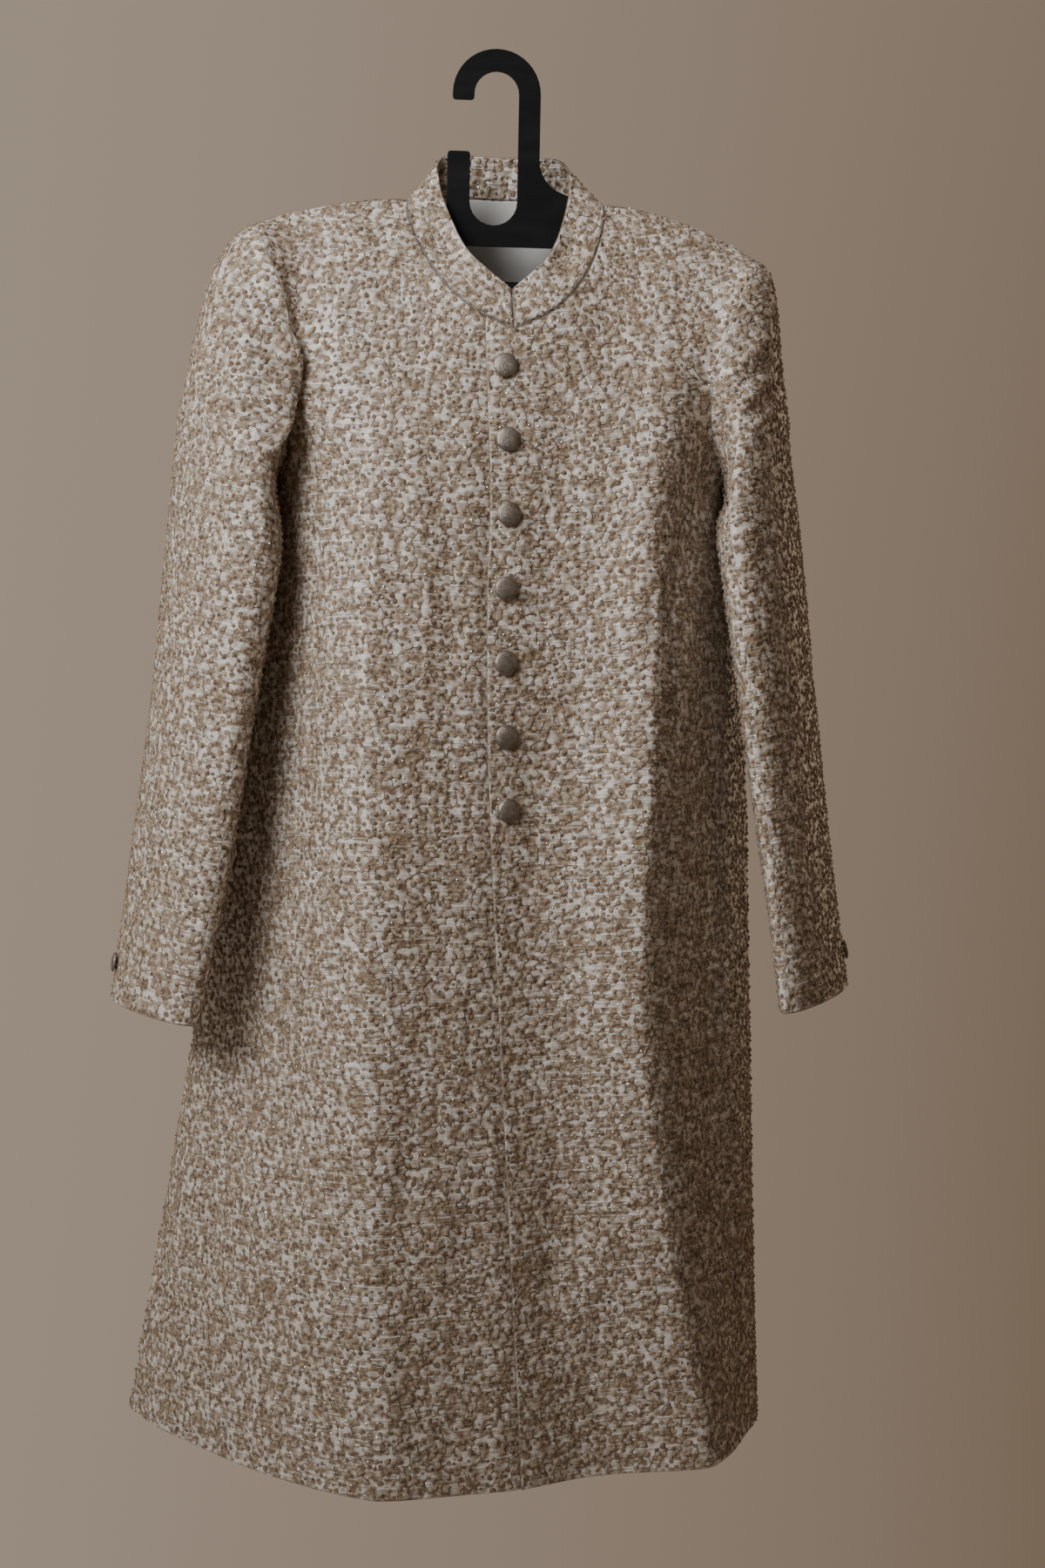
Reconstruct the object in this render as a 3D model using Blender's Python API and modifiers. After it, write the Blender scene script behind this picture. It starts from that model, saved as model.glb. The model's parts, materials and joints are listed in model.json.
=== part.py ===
"""Sherwani coat on a flat plate hanger.

Metres, +Z up.  The hanger's plate lies in the plane Y = 0, the coat's front
faces -Y, and the origin is the underside of the hook, where a rail carries it.
Wearer's right is at -X.  The cloth is a set of walls lofted through level
sections of the hanging coat; the hanger is a flat outline given thickness;
the buttons are turned.
"""
import math
from collections import namedtuple

import bmesh
import bpy
import numpy as np
from mathutils import Matrix, Vector
from mathutils.bvhtree import BVHTree

# ---------------------------------------------------------------- cloth sizes
WALL = 0.0020            # silk, embroidery, canvas and lining together
SEAM_GAP = 0.0003        # between two sewn pieces
LAP_INSET = WALL + 2 * SEAM_GAP     # the under front lies behind the lap
SPLIT_ALONG = Vector((0.62, 0.47, 0.63))    # decides a wall edge's diagonals
NECK_BLEND = 0.45        # of the shoulder, over which the neck's lean dies out
LINING_WALL = 0.0010
LINING_GAP = 0.0004

# ------------------------------------------------------- levels of the coat
CHEST_Z = -0.375
WAIST_Z = -0.620
HIP_Z = -0.920
LEVEL_TILT = 0.045       # drop per metre across: the coat hangs askew
CHEST_ROWS = 10
RELAX_ROUNDS = 8         # of evening out over the chest and shoulders
SCYE_SOFT = 0.40         # share of the shoulder over which the armhole's bend spreads
FULLNESS = (             # how soon the cloth rounds forward below the top
    (0.0, 0.4, 1.0, 1.45, 2.0),      # place along the top
    (1.20, 1.35, 1.30, 1.42, 1.75),
)
WAIST_ROWS = 5
HIP_ROWS = 6
HEM_ROWS = 7

# A row is a line that runs down the cloth: a side seam, an edge or a fold.
# rounding is how far the cloth's bend reaches along the section on each side.
LINES = {
    # name          rounding  chest x, y      waist x, y      hip x, y        hem x, y, z
    "side_right":   (0.045, (-0.222, 0.018), (-0.268, 0.066), (-0.321, 0.098), (-0.397, 0.118, -1.270)),
    "face_right":   (0.060, (-0.185, -0.040), (-0.210, -0.024), (-0.247, -0.015), (-0.266, -0.042, -1.2805)),
    "fold_right":   (0.035, (-0.137, -0.088), (-0.142, -0.104), (-0.152, -0.110), (-0.158, -0.112, -1.289)),
    "front_edge":   (0.000, (-0.0235, -0.088), (-0.031, -0.091), (-0.027, -0.090), (-0.0195, -0.088, -1.296)),
    "trough_left":  (0.030, (0.072, -0.079), (0.042, -0.076), (0.024, -0.076), (0.050, -0.058, -1.298)),
    "fold_left":    (0.030, (0.140, -0.078), (0.118, -0.092), (0.108, -0.084), (0.165, -0.048, -1.299)),
    "side_left":    (0.040, (0.204, 0.018), (0.227, 0.060), (0.229, 0.078), (0.228, 0.088, -1.293)),
    "back_left":    (0.060, (0.150, 0.098), (0.155, 0.128), (0.140, 0.166), (0.115, 0.205, -1.287)),
    "back_trough":  (0.070, (0.004, 0.108), (-0.010, 0.100), (-0.030, 0.098), (-0.060, 0.104, -1.282)),
    "back_right":   (0.060, (-0.142, 0.100), (-0.162, 0.132), (-0.198, 0.178), (-0.238, 0.222, -1.275)),
}

# Place along the top: 0 middle of the front, 1 the neck point of the
# shoulder, 2 the shoulder's end; wearer's right is negative.  On the back,
# 0 is the middle of the back.  Each row runs from one line to the next.
FRONT_SPANS = (
    # from           to             cells and their place along the top
    ("side_right", "face_right", ((0, -2.00), (3, -1.64))),
    ("face_right", "fold_right", ((0, -1.64), (3, -1.38))),
    ("fold_right", "front_edge", ((0, -1.38), (2, -1.00), (10, -0.15))),
    ("front_edge", "trough_left", ((0, -0.15), (2, 0.00), (6, 0.40))),
    ("trough_left", "fold_left", ((0, 0.40), (6, 1.00), (8, 1.45))),
    ("fold_left", "side_left", ((0, 1.45), (4, 2.00))),
)
BACK_SPANS = (
    ("side_left", "back_left", ((0, 2.00), (4, 1.45))),
    ("back_left", "back_trough", ((0, 1.45), (2, 1.00), (6, 0.00))),
    ("back_trough", "back_right", ((0, 0.00), (4, -1.00), (6, -1.38))),
    ("back_right", "side_right", ((0, -1.38), (3, -1.64), (6, -2.00))),
)
FRONT_EDGE_COLUMN = 16
LAP_CELLS = 3
BACK_SEAM_COLUMN = 10    # the back's middle, where its two halves are sewn together

# -------------------------------------------------------------- neck, collar
NECK_X = 0.004
NECK_TILT = 0.045
SHOULDER_ANGLE = 125.0   # of the neck point, from the middle of the front
COLLAR_ROWS = 3
COLLAR_DENT = 0.004      # the stand's soft dent on each side of the front
DENT_ANGLE = 62.0
DENT_SPREAD = 16.0
COLLAR = (
    # angle   seam x, y, z               top edge x, y, z
    (0.0, (0.000, -0.070, -0.2435), (0.000, -0.055, -0.2065)),
    (30.0, (0.037, -0.064, -0.2246), (0.021, -0.050, -0.1887)),
    (60.0, (0.066, -0.047, -0.1940), (0.039, -0.037, -0.1685)),
    (90.0, (0.084, -0.024, -0.1566), (0.053, -0.018, -0.1343)),
    (125.0, (0.0905, 0.000, -0.1180), (0.061, 0.008, -0.0946)),
    (152.0, (0.070, 0.036, -0.1085), (0.055, 0.036, -0.0715)),
    (180.0, (0.000, 0.050, -0.1077), (0.000, 0.046, -0.0687)),
)

# ------------------------------------------------------- shoulders, armholes
Armhole = namedtuple("Armhole", "tip under front_y back_y scoop bow")
ARMHOLES = {
    # side            tip x, y, z               under x, y, z            front y  back y  scoop  bow
    "right": Armhole((-0.2260, 0.000, -0.1345), (-0.222, 0.018, 0.0), -0.056, 0.072, 0.031, 0.006),
    "left": Armhole((0.2360, 0.000, -0.1760), (0.204, 0.018, 0.0), -0.056, 0.072, -0.032, 0.011),
}

BOW_SHARPNESS = 0.7      # 1 is an even bow; less lifts the shoulder's ends
SCYE_LOW = 0.3           # how much deeper the armhole's curve is in its lower half

# A row is one section of the sleeve: its outer and inner ends as seen from
# the front, and half its depth.
SLEEVES = {
    "right": (
        # outer x, y, z            inner x, y, z             half depth
        ((-0.2490, 0.000, -0.1510), (-0.2215, 0.008, -0.371), 0.0610),
        ((-0.2655, 0.000, -0.1780), (-0.2190, -0.004, -0.378), 0.0610),
        ((-0.2785, 0.005, -0.2150), (-0.2130, -0.021, -0.386), 0.0605),
        ((-0.2910, 0.010, -0.2620), (-0.2060, -0.040, -0.399), 0.0590),
        ((-0.3045, 0.020, -0.3200), (-0.2055, -0.051, -0.420), 0.0565),
        ((-0.3165, 0.030, -0.3970), (-0.2125, -0.057, -0.453), 0.0525),
        ((-0.3285, 0.035, -0.4830), (-0.2265, -0.058, -0.520), 0.0490),
        ((-0.3400, 0.036, -0.5700), (-0.2415, -0.057, -0.592), 0.0460),
        ((-0.3545, 0.036, -0.6550), (-0.2550, -0.056, -0.662), 0.0430),
        ((-0.3700, 0.035, -0.7480), (-0.2705, -0.054, -0.740), 0.0400),
        ((-0.3795, 0.033, -0.8050), (-0.2865, -0.053, -0.805), 0.0375),
        ((-0.3871, 0.030, -0.8468), (-0.2997, -0.052, -0.8625), 0.0355),
    ),
    "left": (
        ((0.2490, 0.000, -0.1900), (0.2040, 0.008, -0.391), 0.0610),
        ((0.2540, 0.004, -0.2130), (0.2015, -0.006, -0.398), 0.0605),
        ((0.2580, 0.012, -0.2490), (0.1970, -0.025, -0.406), 0.0595),
        ((0.2625, 0.020, -0.2960), (0.1905, -0.043, -0.417), 0.0575),
        ((0.2680, 0.028, -0.3480), (0.1870, -0.055, -0.436), 0.0545),
        ((0.2765, 0.035, -0.4150), (0.1890, -0.060, -0.469), 0.0500),
        ((0.2850, 0.041, -0.5050), (0.1960, -0.061, -0.531), 0.0460),
        ((0.2925, 0.046, -0.5900), (0.2035, -0.061, -0.597), 0.0420),
        ((0.3000, 0.050, -0.6720), (0.2110, -0.060, -0.665), 0.0390),
        ((0.3075, 0.050, -0.7570), (0.2215, -0.060, -0.751), 0.0360),
        ((0.3145, 0.050, -0.8200), (0.2290, -0.058, -0.816), 0.0330),
        ((0.3196, 0.050, -0.8648), (0.2339, -0.058, -0.8717), 0.0310),
    ),
}
SLEEVE_RINGS = 15
RING_CROWDING = 1.4      # more rings near the armhole than near the cuff
BODY_CLEARANCE = 0.0065  # between the sleeve and the body it hangs against
BODY_SIDE = 0.05         # cosine of the turn past which the ring faces the body
DEEPEST_PRESS = 0.0200   # the most that the body moves the sleeve aside
CAP_RINGS = 6            # of the table's rows, over which the scoop fades
BACK_SEAM_STEP = 2       # of 2 * CHEST_ROWS steps round, from the shoulder
FRONT_SEAM_STEP = 12

# ------------------------------------------------------------------- buttons
BUTTON_RADIUS = 0.0110
BUTTON_HEIGHT = 0.0062
BUTTON_RIM = 0.0014
RIM_STEP = 0.0002
RIM_THICK = 0.0010
DOME_RISE = 0.0050
DOME_SPREAD = 0.80       # 1 would end the dome upright at the rim
TURNED_STEPS = 14
SHANK_RADIUS = 0.0030
SHANK_HEIGHT = 0.0016
FIRST_BUTTON_Z = -0.2775
BUTTON_PITCH = 0.0661
BUTTON_COUNT = 7
BUTTON_FROM_EDGE = 0.0162
CUFF_BUTTON_RADIUS_SHARE = 0.85
CUFF_BUTTONS = {
    # side    y      z      looks along x
    "right": (0.026, -0.8130, 1.0),
    "left": (0.046, -0.8300, -1.0),
}

# -------------------------------------------------------------------- hanger
HANGER_THICK = 0.004
HANGER_TILT = math.radians(2.7)
HOOK_INNER = 0.0205
HOOK_BAND = 0.0200
HOOK_TIP_DROP = 0.006
PRONG_LEFT = -0.0444
PRONG_TOP = -0.0733
NOTCH_RADIUS = 0.0220
NOTCH_MIDDLE = (-0.0015, -0.1180)
NECK_FILLET = 0.0310
NECK_FILLET_TOP = -0.0795
PLATE_BOTTOM = -0.1590
BAR_TOP = -0.1910
BAR_BOTTOM = -0.2050
BAR_END = 0.0160         # of plate past each end of the slot, along the bar
SLOT_HALF = 0.1400
SLOT_FLAT = 0.0600       # the slot's top is level to here, then slopes down
SLOT_DROP = 0.0200       # by this at its ends
ARM_NOSE = 0.0040
ARM_DEPTH = 0.0200
ARM_REACH = 1.80         # place along the top where the arm ends
ARM_START = 1.18         # and where it leaves the plate
ARM_SEAT = (             # arm's top edge below the shoulder line
    (1.0, 1.18, 1.5, 2.0),           # place along the top
    (0.0200, 0.0165, 0.0075, 0.0064),
)
CORNER = 0.0030


# ================================================================= materials
def finish(name, color, roughness, metallic=0.0):
    material = bpy.data.materials.new(name)
    material.use_nodes = True
    shader = material.node_tree.nodes["Principled BSDF"]
    shader.inputs["Base Color"].default_value = (*color, 1.0)
    shader.inputs["Roughness"].default_value = roughness
    shader.inputs["Metallic"].default_value = metallic
    material.diffuse_color = (*color, 1.0)
    return material


# ================================================================ small maths
def unit(vectors):
    length = np.linalg.norm(vectors, axis=-1, keepdims=True)
    return vectors / np.maximum(length, 1e-12)


def smooth_through(knots, values, places):
    """A smooth curve through rows of values given at rising knots."""
    knots = np.asarray(knots, float)
    values = np.asarray(values, float)
    slopes = np.gradient(values, knots, axis=0)
    places = np.atleast_1d(np.asarray(places, float))
    index = np.clip(np.searchsorted(knots, places, side="right") - 1, 0, len(knots) - 2)
    step = knots[index + 1] - knots[index]
    t = (places - knots[index]) / step
    shape = (-1,) + (1,) * (values.ndim - 1)
    t = t.reshape(shape)
    step = step.reshape(shape)
    start = (1 + 2 * t) * (1 - t) ** 2 * values[index] + t * (1 - t) ** 2 * step * slopes[index]
    end = t * t * (3 - 2 * t) * values[index + 1] + t * t * (t - 1) * step * slopes[index + 1]
    return start + end


def sheet_normals(grid):
    """Normals of a grid of points [row down, column across], facing out."""
    down = np.gradient(grid, axis=0)
    across = np.gradient(grid, axis=1)
    return unit(np.cross(down, across))


# ======================================================= level body sections
def section(row_place):
    """Corner points of the body's ring: rows place from 0, chest, to 3, hem."""
    ring = {}
    for name, (rounding, chest, waist, hip, hem) in LINES.items():
        levels = (
            (*chest, CHEST_Z - LEVEL_TILT * chest[0]),
            (*waist, WAIST_Z - LEVEL_TILT * waist[0]),
            (*hip, HIP_Z - LEVEL_TILT * hip[0]),
            hem,
        )
        ring[name] = (rounding, smooth_through((0, 1, 2, 3), levels, row_place)[0])
    return ring


def rounded_span(ring, names, spans):
    """Points of one row of cloth, with the bend at each corner rounded."""
    points = {name: ring[name][1] for name in names}
    bend = {}
    for place, name in enumerate(names):
        before = points[names[place - 1]]
        after = points[names[(place + 1) % len(names)]]
        sides = unit(after - points[name]) + unit(before - points[name])
        bend[name] = points[name] - 0.25 * ring[name][0] * sides
    row = []
    for start, end, cells in spans:
        count = cells[-1][0]
        length = np.linalg.norm(bend[end] - bend[start])
        for cell in range(count):
            along = cell / count * length
            row.append(corner_point(ring, bend, start, end, along, length))
    row.append(corner_point(ring, bend, end, start, 0.0, length))
    return np.array(row)


def corner_point(ring, bend, start, end, along, length):
    """A point on the span, pulled onto the rounded bend near its ends."""
    here = bend[start] + (bend[end] - bend[start]) * (along / length)
    for name, distance in ((start, along), (end, length - along)):
        reach = ring[name][0]
        if distance < reach:
            t = 0.5 + 0.5 * distance / reach
            toward = bend[end] if name == start else bend[start]
            other = other_side(bend, name, toward)
            first = bend[name] + reach * unit(other - bend[name])
            last = bend[name] + reach * unit(toward - bend[name])
            return (1 - t) ** 2 * first + 2 * t * (1 - t) * bend[name] + t * t * last
    return here


def other_side(bend, name, toward):
    """The neighbour of a corner that is not the one the span runs toward."""
    names = list(LINES)
    place = names.index(name)
    before = bend[names[place - 1]]
    after = bend[names[(place + 1) % len(names)]]
    return before if np.allclose(toward, after) else after


# ============================================================== neck and top
def collar_curve(angle, which):
    """The neck seam (which = 1) or the stand's top edge (2) at an angle."""
    angle = ((angle + 180.0) % 360.0) - 180.0
    half = np.array([row[which] for row in COLLAR])
    knots = [row[0] for row in COLLAR]
    mirrored = half[-2] * (-1, 1, 1)
    values = np.vstack((2 * half[0] - half[1], half, mirrored))
    knots = [-knots[1]] + knots + [2 * 180.0 - knots[-2]]
    point = smooth_through(knots, values, abs(angle))[0]
    if angle < 0:
        point[0] = -point[0]
    point[2] -= NECK_TILT * point[0]
    point[0] += NECK_X
    return point


def place_angle(place, is_back):
    """Angle round the neck, from the middle of the front, of a place on it."""
    if not is_back:
        return place * SHOULDER_ANGLE
    sign = -1.0 if place < 0 else 1.0
    return sign * (180.0 - abs(place) * (180.0 - SHOULDER_ANGLE))


def top_point(place, is_back):
    """A point of the coat's top: neck seam, then shoulder seam."""
    side = "left" if place > 0 else "right"
    sign = 1.0 if place > 0 else -1.0
    if abs(place) < 1.0:
        return collar_curve(place_angle(place, is_back), 1)
    neck_point = collar_curve(sign * SHOULDER_ANGLE, 1)
    share = abs(place) - 1.0
    point = neck_point + (np.array(ARMHOLES[side].tip) - neck_point) * share
    point[2] += ARMHOLES[side].bow * (4 * share * (1 - share)) ** BOW_SHARPNESS
    point[1] += 0.5 * SEAM_GAP * (1 if is_back else -1)
    return point


def armhole(side, turn):
    """The armhole at a turn in degrees: 0 tip, 90 back, 180 under, 270 front."""
    hole = ARMHOLES[side]
    under = np.array((hole.under[0], hole.under[1], CHEST_Z - LEVEL_TILT * hole.under[0]))
    radians = math.radians(turn)
    down = (1 - math.cos(radians)) / 2
    point = np.array(hole.tip) * (1 - down) + under * down
    point[0] += hole.scoop * scoop_shape(radians)
    depth = hole.back_y if math.sin(radians) > 0 else hole.front_y
    point[1] += (depth - 0.5 * (hole.tip[1] + under[1])) * abs(math.sin(radians))
    return point


def scoop_shape(radians):
    """Share of the armhole's scoop at a turn, deepest below the middle."""
    return math.sin(radians) ** 2 * (1 - SCYE_LOW * math.cos(radians))


def top_places(spans):
    places = []
    for cells in [span[2] for span in spans]:
        count = cells[-1][0]
        knots = [knot for knot, place in cells]
        values = [place for knot, place in cells]
        places.extend(np.interp(range(count), knots, values))
    places.append(spans[-1][2][-1][1])
    return np.array(places)


def below_chest(spans):
    """Rows of points from the chest to the hem."""
    rows = []
    places = [row / WAIST_ROWS for row in range(WAIST_ROWS)]
    places += [1 + row / HIP_ROWS for row in range(HIP_ROWS)]
    places += [2 + row / HEM_ROWS for row in range(HEM_ROWS + 1)]
    for place in places:
        rows.append(rounded_span(section(place), list(LINES), spans))
    return np.array(rows)


def scye_swell(side, is_back):
    """How far the armhole's middle stands from the side line's middle."""
    hole = ARMHOLES[side]
    depth = hole.back_y if is_back else hole.front_y
    return np.array((hole.scoop, depth - 0.75 * hole.under[1], 0.0))


def above_chest(lower, places, is_back):
    """Rows from the shoulders and neck down to the chest, less the chest."""
    chest = lower[0]
    slope = (lower[1] - lower[0]) / (lower[1] - lower[0])[:, 2:3]
    top = np.array([top_point(place, is_back) for place in places])
    fall = chest[:, 2] - top[:, 2]
    fullness = np.interp(np.abs(places), *FULLNESS)
    rows = []
    for row in range(CHEST_ROWS):
        t = (1 - math.cos(math.pi * row / CHEST_ROWS)) / 2
        points = top + (chest - top) * t
        ease = (1 - (1 - t) ** fullness) ** (1 / fullness)
        points[:, 1] = top[:, 1] + (chest[:, 1] - top[:, 1]) * ease
        points[:, 0] -= (slope[:, 0] * fall + chest[:, 0] - top[:, 0]) * t * t * (t - 1)
        points[:, 1] -= slope[:, 1] * fall * t * t * (t - 1)
        turn = 180.0 * row / CHEST_ROWS
        for side, edge in (("right", -2.0), ("left", 2.0)):
            column = int(np.argmin(np.abs(places - edge)))
            target = armhole(side, turn if is_back else 360.0 - turn)
            if row == 0:
                target = points[column]
            reach = np.clip(2.0 - np.abs(places), 0.0, 1.0)
            fade = np.where(places * edge > 0, (1 - reach) ** 2, 0.0)[:, None]
            soften = np.clip(reach / SCYE_SOFT, 0.0, 1.0)[:, None]
            at_edge = target - points[column]
            swell = scye_swell(side, is_back) * math.sin(math.pi * t) ** 2
            points = points + (at_edge * (1 - soften) + swell * soften) * fade
        rows.append(points)
    return np.array(rows)


def relax(grid, rounds):
    """Even out creases between a grid's fixed edges, as stiff cloth does."""
    for _ in range(rounds):
        around = grid[:-2, 1:-1] + grid[2:, 1:-1] + grid[1:-1, :-2] + grid[1:-1, 2:]
        grid[1:-1, 1:-1] = 0.5 * grid[1:-1, 1:-1] + 0.125 * around


def body_sheet(spans, is_back):
    places = top_places(spans)
    lower = below_chest(spans)
    upper = above_chest(lower, places, is_back)
    grid = np.concatenate((upper, lower), axis=0)
    relax(grid[: CHEST_ROWS + 3], RELAX_ROUNDS)
    return grid, places


# ============================================================= cloth as walls
def wall_mesh(name, outer, inner):
    """A closed wall between an outer and an inner grid of points."""
    rows, columns = outer.shape[:2]
    mesh = bmesh.new()
    front = [[mesh.verts.new(outer[r, c]) for c in range(columns)] for r in range(rows)]
    rear = [[mesh.verts.new(inner[r, c]) for c in range(columns)] for r in range(rows)]
    for r in range(rows - 1):
        for c in range(columns - 1):
            mesh.faces.new((front[r][c], front[r + 1][c], front[r + 1][c + 1], front[r][c + 1]))
            mesh.faces.new((rear[r][c], rear[r][c + 1], rear[r + 1][c + 1], rear[r + 1][c]))
    rim = [(0, c) for c in range(columns)]
    rim += [(r, columns - 1) for r in range(1, rows)]
    rim += [(rows - 1, c) for c in range(columns - 2, -1, -1)]
    rim += [(r, 0) for r in range(rows - 2, -1, -1)]
    for (r, c), (next_r, next_c) in zip(rim, rim[1:]):
        close_edge(mesh, front[r][c], front[next_r][next_c], rear[r][c], rear[next_r][next_c])
    bmesh.ops.recalc_face_normals(mesh, faces=mesh.faces)
    data = bpy.data.meshes.new(name)
    mesh.to_mesh(data)
    mesh.free()
    data.shade_smooth()
    data.set_sharp_from_angle(angle=math.radians(50))
    return data


def close_edge(mesh, outer_a, outer_b, inner_a, inner_b):
    """Two triangles over a wall's edge, split alike on both sides of a seam."""
    if outer_a.co.dot(SPLIT_ALONG) < outer_b.co.dot(SPLIT_ALONG):
        mesh.faces.new((outer_a, outer_b, inner_b))
        mesh.faces.new((outer_a, inner_b, inner_a))
    else:
        mesh.faces.new((outer_a, outer_b, inner_a))
        mesh.faces.new((outer_b, inner_b, inner_a))


def seam_pull(grids, edge, toward, first_row=0):
    """Draw a grid's edge column back by half the gap at its seam."""
    for grid in grids:
        rows = slice(first_row, None)
        grid[rows, edge] += unit(grid[rows, toward] - grid[rows, edge]) * 0.5 * SEAM_GAP


def add_object(name, data, material, collection, root):
    item = bpy.data.objects.new(name, data)
    data.materials.clear()
    data.materials.append(material)
    collection.objects.link(item)
    item.parent = root
    return item


def shared_normals(front, front_places, back, back_places, stand_out, angles):
    """Normals of the panels and the stand, made equal where they are sewn."""
    front_out = sheet_normals(front)
    back_out = sheet_normals(back)
    for side_front, side_back in ((0, -1), (-1, 0)):
        both = unit(front_out[CHEST_ROWS:, side_front] + back_out[CHEST_ROWS:, side_back])
        front_out[CHEST_ROWS:, side_front] = both
        back_out[CHEST_ROWS:, side_back] = both
    for places, normals, is_back in ((front_places, front_out, False), (back_places, back_out, True)):
        for column, place in enumerate(places):
            angle = place_angle(max(-1.0, min(1.0, place)), is_back)
            turn = np.abs((angles - angle + 180.0) % 360.0 - 180.0)
            at_neck = stand_out[-1, int(np.argmin(turn))]
            share = np.clip((abs(place) - 1.0) / NECK_BLEND, 0.0, 1.0)
            normals[0, column] = unit(at_neck * (1 - share) + np.array((0.0, 0.0, 1.0)) * share)
    for side, column_front, column_back in (("right", 0, -1), ("left", -1, 0)):
        for row in range(CHEST_ROWS):
            turn = 180.0 * row / CHEST_ROWS
            front_out[row, column_front] = armhole_radial(side, 360.0 - turn)
            back_out[row, column_back] = armhole_radial(side, turn)
    return front_out, back_out


def armhole_radial(side, turn):
    """Out from the armhole's middle, level with the armhole's own plane."""
    middle = (armhole(side, 0.0) + armhole(side, 180.0)) / 2
    return unit((armhole(side, turn) - middle) * (0.0, 1.0, 1.0))


# =================================================================== collar
def collar_angles(front_places, back_places):
    """The stand's columns match the panels' columns along the neck seam."""
    front = [place * SHOULDER_ANGLE for place in front_places if 0.0 <= place <= 1.0]
    back = [180.0 - place * (180.0 - SHOULDER_ANGLE) for place in back_places if 0 <= place < 1.0]
    other = [180.0 - place * (180.0 - SHOULDER_ANGLE) for place in back_places if -1.0 <= place < 0]
    rest = [360.0 + place * SHOULDER_ANGLE for place in front_places if -1.0 < place <= 0.0]
    return np.array(sorted(set(np.round(front + back + other + rest, 3))))


def collar_sheet(angles):
    rows = []
    for row in range(COLLAR_ROWS + 1):
        share = 1 - row / COLLAR_ROWS
        points = []
        for angle in angles:
            seam = collar_curve(angle, 1)
            top = collar_curve(angle, 2)
            if angle in (angles[0], angles[-1]):
                inward = 1.0 if angle == angles[0] else -1.0
                seam[0] += inward * SEAM_GAP
                top[0] += inward * SEAM_GAP
            seam = seam + unit(top - seam) * SEAM_GAP
            point = seam + (top - seam) * share
            around = min(angle, 360.0 - angle)
            dent = math.exp(-((around - DENT_ANGLE) / DENT_SPREAD) ** 2)
            centre = np.array((NECK_X, 0.0, point[2]))
            point = point + unit(centre - point) * COLLAR_DENT * dent * math.sin(math.pi * share) ** 2
            points.append(point)
        rows.append(points)
    return np.array(rows)


# =================================================================== sleeves
def sleeve_sheet(side):
    """Rings of points down one sleeve, closed round."""
    steps = 2 * CHEST_ROWS
    outboard = np.array((-1.0 if side == "right" else 1.0, 0.0, 0.0))
    key_rings = []
    first = [armhole(side, 360.0 * k / steps) + outboard * SEAM_GAP * 1.5 for k in range(steps)]
    key_rings.append(first)
    for number, (outer, inner, half_depth) in enumerate(SLEEVES[side]):
        cap_scoop = ARMHOLES[side].scoop * max(0.0, 1 - (number + 1) / CAP_RINGS)
        outer = np.array(outer)
        inner = np.array(inner)
        middle = (outer + inner) / 2
        reach = (outer - inner) / 2
        depth = np.array((0.0, half_depth, 0.0))
        ring = []
        for k in range(steps):
            turn = 2 * math.pi * k / steps
            point = middle + reach * math.cos(turn) + depth * math.sin(turn)
            point[0] += cap_scoop * scoop_shape(turn)
            ring.append(point)
        key_rings.append(ring)
    key_rings = np.array(key_rings)
    travel = np.linalg.norm(np.diff(key_rings.mean(axis=1), axis=0), axis=-1)
    knots = np.concatenate(((0.0,), np.cumsum(travel)))
    share = np.linspace(0.0, 1.0, SLEEVE_RINGS + 1) ** RING_CROWDING
    places = knots[-1] * share
    rings = smooth_through(knots, key_rings, places)
    return rings


def sleeve_walls(side, rings):
    steps = rings.shape[1]
    wrapped = np.concatenate((rings[:, -1:], rings, rings[:, :1]), axis=1)
    out = sheet_normals(wrapped)[:, 1:-1]
    centre = rings.mean(axis=1, keepdims=True)
    facing = np.sign((out * (rings - centre)).sum(axis=-1, keepdims=True).mean())
    out = out * facing
    out[0] = [armhole_radial(side, 360.0 * k / steps) for k in range(steps)]
    inner = rings - WALL * out
    pieces = {}
    bounds = {
        "upper": (FRONT_SEAM_STEP - steps, BACK_SEAM_STEP),
        "under": (BACK_SEAM_STEP, FRONT_SEAM_STEP),
    }
    for piece, (start, end) in bounds.items():
        index = np.arange(start, end + 1) % steps
        outer_grid = rings[:, index].copy()
        inner_grid = inner[:, index].copy()
        seam_pull((outer_grid, inner_grid), 0, 1)
        seam_pull((outer_grid, inner_grid), -1, -2)
        pieces[piece] = (outer_grid, inner_grid)
    return pieces


def keep_clear(rings, tree):
    """Move the underarm's points that would lie in the body off its surface."""
    steps = rings.shape[1]
    for ring in rings[1:]:
        for k, point in enumerate(ring):
            near, normal = tree.find_nearest(Vector(point))[:2]
            depth = (Vector(point) - near).dot(normal)
            faces_body = math.cos(2 * math.pi * k / steps) < BODY_SIDE
            if faces_body and -DEEPEST_PRESS < depth < BODY_CLEARANCE:
                push = np.array((normal.x, normal.y, 0.0))
                point += unit(push) * (BODY_CLEARANCE - depth)


# ==================================================================== hanger
def arc(middle, radius, start, end, count):
    """Points of an arc, angles in degrees."""
    points = []
    for k in range(count + 1):
        angle = math.radians(start + (end - start) * k / count)
        points.append((middle[0] + radius * math.cos(angle), middle[1] + radius * math.sin(angle)))
    return points


def tilted(points):
    """The hanger's own points turned by its tilt about the hook."""
    c = math.cos(HANGER_TILT)
    s = math.sin(HANGER_TILT)
    return [(x * c + z * s, -x * s + z * c) for x, z in points]


def arm_line(sign, start, count):
    """Top edge of one arm, just under the shoulder line, outward."""
    points = []
    for k in range(count + 1):
        place = start + (ARM_REACH - start) * k / count
        point = top_point(sign * place, False)
        points.append((point[0], point[2] - np.interp(place, *ARM_SEAT)))
    return points


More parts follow.
